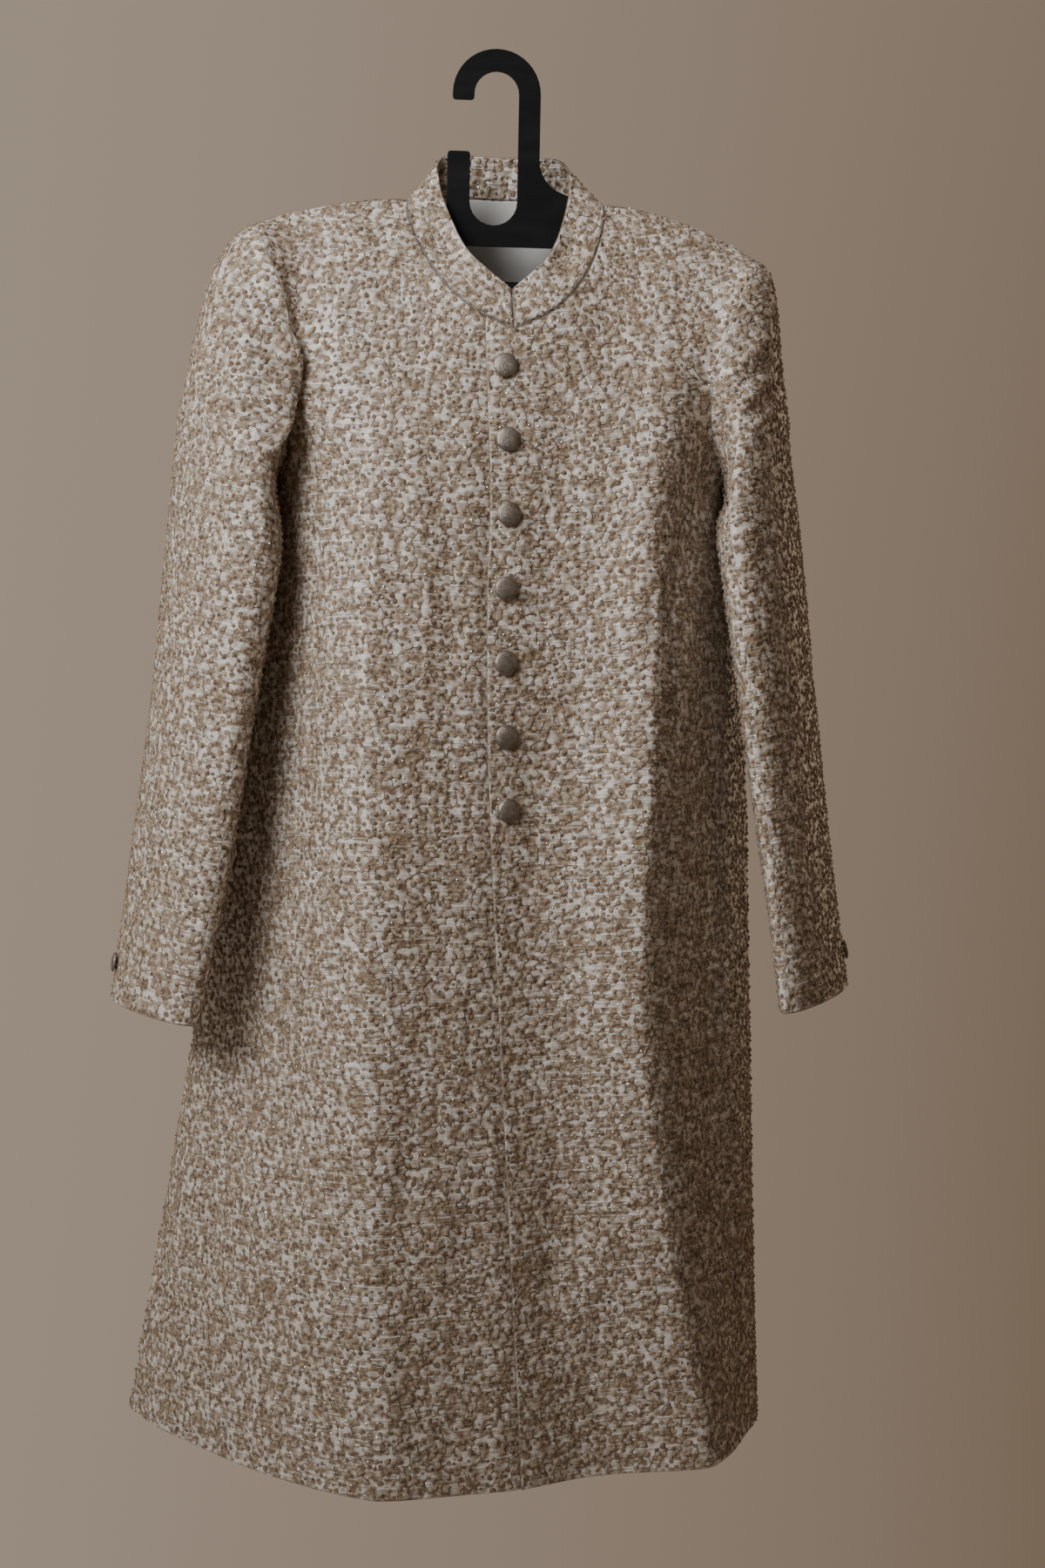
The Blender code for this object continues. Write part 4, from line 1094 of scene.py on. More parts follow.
class Output:
    """A node's output that takes part in Python arithmetic."""

    def __init__(self, socket):
        self.socket = socket

    def math(self, operation, *values, clamp=False):
        tree = self.socket.id_data
        node = tree.nodes.new("ShaderNodeMath")
        node.operation = operation
        node.use_clamp = clamp
        for target, value in zip(node.inputs, values):
            feed(tree, target, value)
        return Output(node.outputs[0])

    def __add__(self, other):
        return self.math("ADD", self, other)

    def __sub__(self, other):
        return self.math("SUBTRACT", self, other)

    def __rsub__(self, other):
        return self.math("SUBTRACT", other, self)

    def __mul__(self, other):
        return self.math("MULTIPLY", self, other)

    __radd__ = __add__
    __rmul__ = __mul__

    def between(self, low, high):
        """0 below low, 1 above high and even between them."""
        share = (self - low) * (1.0 / (high - low))
        return self.math("MULTIPLY", share, 1.0, clamp=True)


def feed(tree, target, value):
    """Link an output to a socket, or set the socket to a value."""
    if isinstance(value, Output):
        tree.links.new(value.socket, target)
    elif value is not None:
        target.default_value = value


print("an output takes +, - and *, on either side of a number")

# %% Adding nodes to a tree, and making a finish


class Wiring:
    """Adds nodes to one tree."""

    def __init__(self, tree):
        self.tree = tree

    def node(self, kind, settings=None, sockets=None, output=0):
        made = self.tree.nodes.new(kind)
        for name, value in (settings or {}).items():
            if name == "stops":
                self.set_stops(made.color_ramp.elements, value)
            else:
                setattr(made, name, value)
        for name, value in (sockets or {}).items():
            feed(self.tree, made.inputs[name], value)
        return Output(made.outputs[output])

    def set_stops(self, elements, stops):
        for number, (place, color) in enumerate(stops):
            stop = elements[number] if number < 2 else elements.new(place)
            stop.position = place
            stop.color = (*color, 1.0)

    def blend(self, share, first, second):
        """Mix two colours, given as outputs or as red, green and blue."""
        first = first if isinstance(first, Output) else (*first, 1.0)
        second = second if isinstance(second, Output) else (*second, 1.0)
        sockets = {0: share, 6: first, 7: second}
        return self.node("ShaderNodeMix", {"data_type": "RGBA"}, sockets, 2)

    def noise(self, place, scale, detail=2.0, roughness=0.5):
        settings = {"noise_dimensions": "3D"}
        sockets = {"Vector": place, "Scale": scale, "Detail": detail, "Roughness": roughness}
        return self.node("ShaderNodeTexNoise", settings, sockets)

    def stretched(self, place, scale, turn=0.0):
        sockets = {"Vector": place, "Scale": scale, "Rotation": (0.0, 0.0, turn)}
        return self.node("ShaderNodeMapping", None, sockets)

    def bump(self, height, distance, strength=1.0):
        sockets = {"Strength": strength, "Distance": distance, "Height": height}
        return self.node("ShaderNodeBump", None, sockets)


def finish(name, build, **fixed):
    """A material whose tree is made by build, with fixed values on the shader."""
    material = bpy.data.materials.new(name)
    material.use_nodes = True
    tree = material.node_tree
    shader = tree.nodes["Principled BSDF"]
    for socket, value in fixed.items():
        shader.inputs[socket.replace("_", " ")].default_value = value
    for socket, value in build(Wiring(tree)).items():
        feed(tree, shader.inputs[socket], value)
    return material


def on_cloth(wires):
    """The place on the cloth in metres: across, up, nothing."""
    return wires.node("ShaderNodeUVMap", {"uv_map": "cut"})


def in_space(wires):
    """The place in metres, in the piece's own space."""
    return wires.node("ShaderNodeTexCoord", None, None, 3)


print("ways to add nodes:", ", ".join(name for name in vars(Wiring) if name[0] != "_"))

# %% [markdown]
# Dupion silk is woven with an uneven weft: thick threads, the slubs, run
# across the cloth for a few centimetres and end. Noise stretched across the
# cloth gives them, in colour, gloss and height. The warp is too fine to draw.
# The dense embroidery also puckers the silk, so that it stands up between the
# buds and sinks beside them. A rounder noise, as wide as a bud, gives that in
# the bump. In the colour the same noise paints the silk lighter where it stands
# up, as if lit, and puts a brown painted shadow where it sinks; a wider one
# paints upright highlight patches where the silk would gleam.

# %% The silk
# the silk's painted lit tone and painted shaded tone, then its slubs
SILK_PAINTED_LIT = (0.880, 0.825, 0.750)
SILK_PAINTED_SHADE = (0.345, 0.252, 0.163)
SILK_SLUB = (0.960, 0.940, 0.905)
SILK_DIP_SHADOW = (0.170, 0.106, 0.060)
SEAM_SHADOW = (0.095, 0.062, 0.038)
SEAM_SHADE = 0.85
THREADS_ACROSS = 30.0        # noise cells in a metre, along a weft thread
THREADS_UP = 460.0           # and across the threads
SLUBS_ACROSS = 18.0
SLUBS_UP = 380.0
PUCKERS = 118.0
FOLDLETS = (95.0, 34.0, 1.0)     # small upright waves between the rows of buds
PAINTED_GLEAMS = (64.0, 24.0, 1.0)       # upright patches of painted highlight on the silk
CLOTH_RELIEF = 0.0036
SLUB_SHARE = 0.72            # how strongly a slub shows over the ground
DIP_SHADOW_SHARE = 0.75             # and how strongly the brown painted shadow darkens a dip


def build_silk(wires):
    place = on_cloth(wires)
    weft = wires.stretched(place, (THREADS_ACROSS, THREADS_UP, 1.0))
    threads = wires.noise(weft, 1.0, 3.0, 0.6)
    thick = wires.stretched(place, (SLUBS_ACROSS, SLUBS_UP, 1.0))
    slub = wires.noise(thick, 1.0, 2.0, 0.55).between(0.50, 0.66)
    puckers = wires.noise(place, PUCKERS, 1.5)
    foldlets = wires.noise(wires.stretched(place, FOLDLETS), 1.0, 1.0)
    painted_gleams = wires.noise(wires.stretched(place, PAINTED_GLEAMS), 1.0, 2.0)
    # painted light and shade: puckers, folds and painted highlight patches, with the weft's own
    # tone, choose the lit or the shaded colour
    painted_light_and_weave = puckers * 0.38 + foldlets * 0.18 + threads * 0.20 + painted_gleams * 0.24
    ground = wires.blend(painted_light_and_weave.between(0.45, 0.57), SILK_PAINTED_SHADE, SILK_PAINTED_LIT)
    ground = wires.blend(slub * SLUB_SHARE, ground, SILK_SLUB)
    # where the silk sinks beside a bud it gets a brown painted shadow, and a little more
    # roughness
    shadowed_dips = puckers.between(0.48, 0.30)
    height = puckers * 0.75 + foldlets * 0.6 + threads * 0.12 + slub * 0.14
    # a painted shadow along the tucked seam at the neck, from each point's share of it
    seam = wires.node("ShaderNodeAttribute", {"attribute_name": "near_seam"}, None, "Fac")
    ground = wires.blend(shadowed_dips * DIP_SHADOW_SHARE, ground, SILK_DIP_SHADOW)
    return {
        "Base Color": wires.blend(seam.between(0.30, 0.90) * SEAM_SHADE, ground, SEAM_SHADOW),
        "Roughness": 0.30 + threads * 0.20 + shadowed_dips * 0.15,
        "Normal": wires.bump(height, CLOTH_RELIEF, 0.9),
    }


gloss = {"Sheen_Weight": 0.20, "Sheen_Roughness": 0.4, "Specular_IOR_Level": 0.8}
silk = finish("dupion_silk", build_silk, **gloss)
print("finish:", silk.name)

# %% [markdown]
# At the hem, the cuffs, the collar's edge and the seams the wall's rounded
# edge shows. It is given a dark brown painted shade, so that these edges read
# as shadowed lines and not as lit rims; a single noise gives its stitches.

# %% The folded edges
# painted shade: both colours are dark so that edges and seams look shadowed
EDGE_SHADE_DARK = (0.130, 0.090, 0.060)
EDGE_SHADE_LIGHT = (0.320, 0.262, 0.200)
EDGE_STITCHES = 240.0        # noise cells in a metre, here and below
STITCH_RELIEF = 0.0004


def build_shaded_edge(wires):
    stitches = wires.noise(on_cloth(wires), EDGE_STITCHES, 2.0, 0.6)
    return {
        "Base Color": wires.blend(stitches.between(0.36, 0.62), EDGE_SHADE_DARK, EDGE_SHADE_LIGHT),
        "Roughness": 0.5 + stitches * 0.2,
        "Normal": wires.bump(stitches, STITCH_RELIEF),
    }


silk_edge = finish("silk_edge", build_shaded_edge, Sheen_Weight=0.2)
print("finish:", silk_edge.name)

# %% [markdown]
# The lining is a plain pale satin, smoother than the silk. Its threads run up
# and down, so the noise is much finer across them.

# %% The lining
LINING_SHADE = (0.82, 0.81, 0.78)
LINING_LIGHT = (0.90, 0.89, 0.86)
LINING_WEAVE = (700.0, 180.0, 1.0)
LINING_CLOUDS = 22.0
LINING_RELIEF = 0.00012


def build_lining(wires):
    place = on_cloth(wires)
    weave = wires.noise(wires.stretched(place, LINING_WEAVE), 1.0, 2.0)
    clouds = wires.noise(place, LINING_CLOUDS, 2.0)
    return {
        "Base Color": wires.blend(clouds.between(0.35, 0.70), LINING_SHADE, LINING_LIGHT),
        "Roughness": 0.42 + weave * 0.14,
        "Normal": wires.bump(weave, LINING_RELIEF),
    }


lining = finish("lining_satin", build_lining, Sheen_Weight=0.15)
print("finish:", lining.name)

# %% [markdown]
# The embroidery is worked in two threads: a soft camel one that fills the
# buds, and a brown twisted one for stems. Both are cotton, so they are dull.
# A fine noise in object space stands for the stitches that cross each bud.

# %% The embroidery threads
BUD_LIGHT = (0.560, 0.425, 0.290)
BUD_DARK = (0.135, 0.080, 0.044)
STEM_LIGHT = (0.170, 0.106, 0.062)
STEM_DARK = (0.055, 0.031, 0.017)
BUD_STITCHES = 1500.0
STEM_STITCHES = 1900.0
STITCH_SHAPE = (1.0, 1.0, 2.2)
THREAD_PATCHES = 250.0


def build_thread(light, dark, scale):
    def build(wires):
        place = in_space(wires)
        stitches = wires.noise(wires.stretched(place, STITCH_SHAPE), scale, 2.0, 0.65)
        patches = wires.noise(place, THREAD_PATCHES, 1.5)
        share = stitches * 0.45 + patches * 0.55
        color = wires.blend(share.between(0.40, 0.60), dark, light)
        return {"Base Color": color, "Normal": wires.bump(stitches, STITCH_RELIEF, 0.8)}
    return build


build_bud = build_thread(BUD_LIGHT, BUD_DARK, BUD_STITCHES)
build_stem = build_thread(STEM_LIGHT, STEM_DARK, STEM_STITCHES)
bud_thread = finish("bud_thread", build_bud, Roughness=0.62, Sheen_Weight=0.2)
stem_thread = finish("stem_thread", build_stem, Roughness=0.66)
print("finishes:", bud_thread.name, stem_thread.name)

# %% [markdown]
# Sequins of pale foil and small dark rings sit between the buds. Noise in
# object space gives every one its own tone and its own gloss.

# %% The sequins and the rings
SEQUIN_DARK = (0.80, 0.74, 0.64)
SEQUIN_LIGHT = (0.93, 0.91, 0.87)
RING_DARK = (0.060, 0.036, 0.022)
RING_LIGHT = (0.220, 0.145, 0.090)
SEQUIN_SPOTS = 260.0
RING_SPOTS = 700.0


def build_sequin(wires):
    spots = wires.noise(in_space(wires), SEQUIN_SPOTS, 1.0)
    color = wires.blend(spots.between(0.35, 0.65), SEQUIN_DARK, SEQUIN_LIGHT)
    return {"Base Color": color, "Roughness": 0.10 + spots * 0.16}


def build_ring(wires):
    spots = wires.noise(in_space(wires), RING_SPOTS, 2.0)
    color = wires.blend(spots.between(0.35, 0.65), RING_DARK, RING_LIGHT)
    return {"Base Color": color, "Roughness": 0.30 + spots * 0.3}


sequin_foil = finish("sequin_foil", build_sequin, Metallic=1.0)
ring_bead = finish("ring_bead", build_ring, Metallic=0.35)
print("finishes:", sequin_foil.name, ring_bead.name)

# %% [markdown]
# The buttons are cast in an old-looking metal: brown in the hollows of a fine
# leafy grain, and paler in random worn patches. The grain is a cell pattern in
# object space, raised a fifth of a millimetre.

# %% The button metal
BUTTON_DARK = (0.170, 0.138, 0.112)
BUTTON_LIGHT = (0.560, 0.500, 0.445)
BUTTON_GRAIN = 620.0
BUTTON_WEAR = 150.0
BUTTON_RELIEF = 0.00022


def build_metal(wires):
    place = in_space(wires)
    sockets = {"Vector": place, "Scale": BUTTON_GRAIN}
    cells = wires.node("ShaderNodeTexVoronoi", {"feature": "DISTANCE_TO_EDGE"}, sockets)
    grain = cells.between(0.02, 0.22)
    worn = wires.noise(place, BUTTON_WEAR, 3.0, 0.6)
    share = grain * 0.45 + worn.between(0.30, 0.70) * 0.55
    return {
        "Base Color": wires.blend(share, BUTTON_DARK, BUTTON_LIGHT),
        "Roughness": 0.52 - share * 0.14,
        "Normal": wires.bump(grain * 0.7 + worn * 0.3, BUTTON_RELIEF, 0.8),
    }


metal = finish("cast_metal", build_metal, Metallic=0.9)
print("finish:", metal.name)

# %% [markdown]
# The hanger is moulded in black plastic. It is dull, with a fine grain and
# long faint scuffs from being slid along a rail.

# %% The hanger's plastic
PLASTIC_DARK = (0.0035, 0.0040, 0.0050)
PLASTIC_LIGHT = (0.0080, 0.0085, 0.0100)
PLASTIC_GRAIN = 900.0
SCUFFS = (18.0, 18.0, 90.0)
PLASTIC_RELIEF = 0.00008


def build_plastic(wires):
    place = in_space(wires)
    grain = wires.noise(place, PLASTIC_GRAIN, 2.0)
    scuffs = wires.noise(wires.stretched(place, SCUFFS, 0.4), 1.0, 3.0)
    return {
        "Base Color": wires.blend(scuffs.between(0.45, 0.75), PLASTIC_DARK, PLASTIC_LIGHT),
        "Roughness": 0.44 + scuffs * 0.16,
        "Normal": wires.bump(grain, PLASTIC_RELIEF),
    }


plastic = finish("moulded_plastic", build_plastic, Specular_IOR_Level=0.22)
print("finish:", plastic.name)

# %% [markdown]
# A panel of the coat is two layers, silk outside and lining inside, joined
# round the edge. Solidify could add the second layer, but at the seams the
# two panels have to share one direction, so the inner layer is laid out here
# along those shared directions, and the edge between them is rounded.

# %% A panel as a closed wall
EDGE_ROUND = 0.35        # how far the edge bulges, as a share of the wall


def wall_faces(rows, columns):
    """Quads of the outer layer, inner layer and rounded edge, and the rim's points."""
    index = np.arange(rows * columns).reshape(rows, columns)
    corners = (index[:-1, :-1], index[1:, :-1], index[1:, 1:], index[:-1, 1:])
    quads = np.stack(corners, axis=-1).reshape(-1, 4)
    rim = np.concatenate((index[0, :-1], index[:-1, -1], index[-1, :0:-1], index[:0:-1, 0]))
    following = np.roll(rim, -1)
    inner = rows * columns
    edge = 2 * inner + np.arange(len(rim))
    next_edge = np.roll(edge, -1)
    outer_strip = np.stack((rim, following, next_edge, edge), axis=-1)
    inner_strip = np.stack((edge, next_edge, following + inner, rim + inner), axis=-1)
    return quads, quads[:, ::-1] + inner, np.concatenate((outer_strip, inner_strip)), rim


def add_mesh(name, points, faces):
    """A mesh object with its place in its mesh."""
    data = bpy.data.meshes.new(name)
    data.from_pydata([tuple(point) for point in points], [], [tuple(face) for face in faces])
    data.update()
    data.shade_smooth()
    return add_object(name, data)


def set_uv(data, uv):
    """Give each corner of each face the map's value at its point."""
    layer = data.uv_layers.new(name="cut")
    corners = np.zeros(len(data.loops), int)
    data.loops.foreach_get("vertex_index", corners)
    layer.data.foreach_set("uv", uv[corners].astype(np.float32).ravel())


def cloth_wall(panel, thickness, finishes):
    """A panel as a closed wall; its finishes are of the outside, inside and edge."""
    rows, columns = panel.outer.shape[:2]
    outer = panel.outer.reshape(-1, 3)
    normals = panel.normals.reshape(-1, 3)
    silk, inside, edges, rim = wall_faces(rows, columns)
    along = unit(np.roll(outer[rim], -1, axis=0) - np.roll(outer[rim], 1, axis=0))
    outward = np.cross(along, normals[rim])
    to_middle = outer.mean(axis=0) - outer[rim]
    outward *= -np.sign((outward * to_middle).sum(axis=-1).mean())
    edge = outer[rim] - normals[rim] * thickness / 2 + outward * thickness * EDGE_ROUND
    points = np.concatenate((outer, outer - normals * thickness, edge))
    faces = np.concatenate((silk, inside, edges))
    wall = add_mesh(panel.name, points, faces)
    uv = panel.uv.reshape(-1, 2)
    set_uv(wall.data, np.concatenate((uv, uv, uv[rim])))
    # each point's share of painted shadow along the neck seam, for the silk's colour
    seam = panel.seam.ravel()
    seam = np.concatenate((seam, seam, seam[rim])).astype(np.float32)
    wall.data.attributes.new("near_seam", "FLOAT", "POINT").data.foreach_set("value", seam)
    for finish in finishes:
        wall.data.materials.append(finish)
    finish_of_face = np.repeat((0, 1, 2), (len(silk), len(inside), len(edges))).astype(np.int32)
    wall.data.polygons.foreach_set("material_index", finish_of_face)
    mesh = bmesh.new()
    mesh.from_mesh(wall.data)
    bmesh.ops.recalc_face_normals(mesh, faces=mesh.faces)
    mesh.to_mesh(wall.data)
    mesh.free()
    return wall


print("faces of a wall of 3 x 3 points:", sum(len(part) for part in wall_faces(3, 3)[:3]))

# %% [markdown]
# Each panel becomes such a wall. The collar is faced with the same silk on
# both sides, so its wall is thicker than the rest.

# %% Sew the panels
CLOTH_NODES = (
    "front_left", "front_right", "back_left", "back_right", "collar",
    "sleeve_right_upper", "sleeve_right_under", "sleeve_left_upper", "sleeve_left_under",
)
COLLAR_WALL = 0.0026
cloth = {}
for name in CLOTH_NODES:
    panel = panels[name]
    panel = panel._replace(name=name + "_cloth")
    finishes = (silk, silk if name == "collar" else lining, silk_edge)
    cloth[name] = cloth_wall(panel, COLLAR_WALL if name == "collar" else WALL, finishes)
panel = panels["lining_back"]._replace(name="lining_back_cloth")
cloth["lining_back"] = cloth_wall(panel, LINING_WALL, (lining, lining, lining))
for name, piece in cloth.items():
    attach(piece, "root")
    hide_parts(name)
    "lining" if name == "lining_back" else "embroidered_silk"
faces = sum(len(piece.data.polygons) for piece in cloth.values())
print("cloth pieces:", len(cloth), "faces:", faces)

# %% [markdown]
# The embroidery is an all-over vine, a traditional filling for such a coat,
# worked by machine in a repeat: fine stems that wind from bud to bud, a bud
# on the side of each joint, and small dark rings and sequins in the gaps. It
# could be drawn in a bump map, but the buds stand up enough to show along the
# coat's outline. So one repeat is modelled flat, with few faces to a bud,
# because tens of thousands are needed. Each bud takes the emptiest of a few
# random places, which spreads them as evenly as an embroiderer would, and
# distances wrap round, so that the repeat joins itself on all four sides.

# %% Places for the buds
REPEAT = np.array((0.160, 0.200))
BUDS_IN_REPEAT = 540
PLACES_TRIED = 34


def scatter(draw, count, taken):
    """More places on the repeat, each the emptiest of a few random ones."""
    places = [*taken]
    while len(places) < len(taken) + count:
        tried = draw.uniform(0.0, 1.0, (PLACES_TRIED, 2)) * REPEAT
        if places:
            gap = np.abs(tried[:, None] - np.array(places)[None])
            gap = np.minimum(gap, REPEAT - gap)
            tried = tried[np.linalg.norm(gap, axis=-1).min(axis=1).argmax()][None]
        places.append(tried[0])
    return np.array(places)


print("repeat:", REPEAT, "m, with", BUDS_IN_REPEAT, "buds")

# %% The stems
LONGEST_STEM = 0.0125
STEMS_AT_BUD = 3
STEM_WIDTH = 0.00043         # half of it
STEM_HEIGHT = 0.00060
SUNK = -0.0002               # everything starts a little inside the silk
STEM_COSTS = (1.0, 1.7)      # range of what a stem costs for its length


def grow_vines(draw, places):
    """Stems between neighbours, as (index, way to the next place), in no closed ring."""
    way = places[None] - places[:, None]
    way -= REPEAT * np.round(way / REPEAT)
    length = np.linalg.norm(way, axis=-1)
    pairs = [(i, j) for i, j in np.argwhere(length < LONGEST_STEM) if i < j]
    cost = {pair: length[pair] * draw.uniform(*STEM_COSTS) for pair in pairs}
    vine = list(range(len(places)))
    stems_at = [0] * len(places)
    stems = []
    for i, j in sorted(pairs, key=cost.get):
        if vine[i] == vine[j] or max(stems_at[i], stems_at[j]) >= STEMS_AT_BUD:
            continue
        vine = [vine[i] if mark == vine[j] else mark for mark in vine]
        stems_at[i] += 1
        stems_at[j] += 1
        stems.append((i, way[i, j]))
    return stems


def add_ridge(points, faces, line, width, height):
    """A thread along a line: a ridge of two slopes."""
    line = np.array(line)
    along = unit(np.gradient(line, axis=0))
    side = np.stack((-along[:, 1], along[:, 0]), axis=-1) * width
    first = len(points)
    for here, out in zip(line, side):
        points += [(*(here + out), SUNK), (*here, height), (*(here - out), SUNK)]
    for k in range(len(line) - 1):
        a = first + 3 * k
        faces += [(a + 1, a, a + 3, a + 4), (a + 2, a + 1, a + 4, a + 5)]


print("stems up to", LONGEST_STEM, "m, at most", STEMS_AT_BUD, "at a bud")

# %% Buds and rings
BUD_LENGTH = 0.0036          # half of it
BUD_WIDTH = 0.0031
BUD_HEIGHT = 0.0021
BUD_POINTS = 7
BUD_STEP = 0.35              # from its place on the vine, as a share of its length
BUD_TOP = 0.15               # and from there on to its highest point
BUD_PINCH = 0.30             # of its width, at the stem
RING_SIDES = 6
RING_RIM = 0.4               # a ring's outer edge, as a share of its height


def add_bud(points, faces, root, direction, size):
    """A low bud, pointed towards its stem, as a fan of triangles."""
    side = np.array((-direction[1], direction[0]))
    middle = root + direction * BUD_STEP * BUD_LENGTH * size
    first = len(points)
    points.append((*(middle + direction * BUD_TOP * BUD_LENGTH * size), BUD_HEIGHT * size))
    for k in range(BUD_POINTS):
        turn = 2 * math.pi * k / BUD_POINTS + math.pi
        pinch = 1.0 - BUD_PINCH * max(0.0, -math.cos(turn))
        ahead = math.cos(turn) * BUD_LENGTH * size
        beside = math.sin(turn) * BUD_WIDTH * size * pinch
        points.append((*(middle + direction * ahead + side * beside), SUNK))
    for k in range(BUD_POINTS):
        faces.append((first, first + 1 + k, first + 1 + (k + 1) % BUD_POINTS))


def add_ring(points, faces, middle, radius, hole, tilt, height):
    """A flat ring, slightly dished and tilted."""
    first = len(points)
    for k in range(RING_SIDES):
        turn = 2 * math.pi * k / RING_SIDES
        x, y = math.cos(turn), math.sin(turn)
        rise = height + tilt[0] * x + tilt[1] * y
        points.append((middle[0] + radius * x, middle[1] + radius * y, rise * RING_RIM))
        points.append((middle[0] + hole * x, middle[1] + hole * y, rise))
    for k in range(RING_SIDES):
        a, b = first + 2 * k, first + 2 * ((k + 1) % RING_SIDES)
        faces.append((a, b, b + 1, a + 1))


print("faces of a bud and a ring:", BUD_POINTS, RING_SIDES)

# %% One repeat, drawn flat in metres
RINGS_IN_REPEAT = 56
SEQUINS_IN_REPEAT = 50
STEM_BOW = 0.20              # sideways, as a share of the stem's length
SEQUIN_RADIUS = 0.00120
SEQUIN_HOLE = 0.00050
RING_RADIUS = 0.00150
RING_HOLE = 0.00085
RING_HEIGHT = 0.0007
SEQUIN_HEIGHT = 0.0008
LARGEST_TILT = 0.0003
REPEAT_SEED = 47
BUD_TURNS = (0.9, 1.9)       # how far a bud turns from its stem, in radians
BUD_SIZES = (0.70, 1.14)     # and how large it is, as a share of its sizes


def draw_repeat():
    """The buds, stems, sequins and rings of one repeat, about its middle."""
    draw = np.random.default_rng(REPEAT_SEED)
    parts = {name: ([], []) for name in ("buds", "stems", "sequins", "rings")}
    buds = scatter(draw, BUDS_IN_REPEAT, ())
    sides = draw.uniform(0.0, 2 * math.pi, len(buds))
    for place, way in grow_vines(draw, buds):
        start = buds[place] - REPEAT / 2
        bow = np.array((-way[1], way[0])) * draw.uniform(-STEM_BOW, STEM_BOW)
        line = (start, start + way / 2 + bow, start + way)
        add_ridge(*parts["stems"], line, STEM_WIDTH, STEM_HEIGHT)
        turn = draw.choice((-1.0, 1.0)) * draw.uniform(*BUD_TURNS)
        sides[place] = math.atan2(way[1], way[0]) + turn
    for place, side in zip(buds, sides):
        direction = np.array((math.cos(side), math.sin(side)))
        add_bud(*parts["buds"], place - REPEAT / 2, direction, draw.uniform(*BUD_SIZES))
    places = scatter(draw, RINGS_IN_REPEAT + SEQUINS_IN_REPEAT, buds)[len(buds):]
    ring = ("rings", RING_RADIUS, RING_HOLE, RING_HEIGHT)
    sequin = ("sequins", SEQUIN_RADIUS, SEQUIN_HOLE, SEQUIN_HEIGHT)
    for number, place in enumerate(places - REPEAT / 2):
        tilt = draw.uniform(-LARGEST_TILT, LARGEST_TILT, 2)
        kind, radius, hole, height = ring if number < RINGS_IN_REPEAT else sequin
        add_ring(*parts[kind], place, radius, hole, tilt, height)
    return parts


THREAD_FINISHES = {
    "buds": bud_thread,
    "stems": stem_thread,
    "sequins": sequin_foil,
    "rings": ring_bead,
}
repeat_parts = {}
for name, (points, faces) in draw_repeat().items():
    data = bpy.data.meshes.new(name)
    data.from_pydata(points, [], faces)
    data.shade_smooth()
    repeat_parts[name] = bpy.data.objects.new(name + "_repeat", data)
    print(name, "triangles in a repeat:", sum(len(face.vertices) - 2 for face in data.polygons))

# %% [markdown]
# Geometry Nodes lay the repeats side by side over the panel's cut, on a grid
# of points. The result is still flat, like cloth on an embroidery frame. Then
# each point looks up its place on the hanging panel through the UV map, what
# falls outside the panel is cut away, and the rest moves there, keeping its
# height above the silk.

# %% The embroidery tree
EMBROIDERY_INPUTS = (
    # name            socket type
    ("Cloth", "NodeSocketGeometry"),
    ("Middle", "NodeSocketVector"),
    ("Columns", "NodeSocketInt"),
    ("Rows", "NodeSocketInt"),
    ("Repeat width", "NodeSocketFloat"),
    ("Repeat height", "NodeSocketFloat"),
)


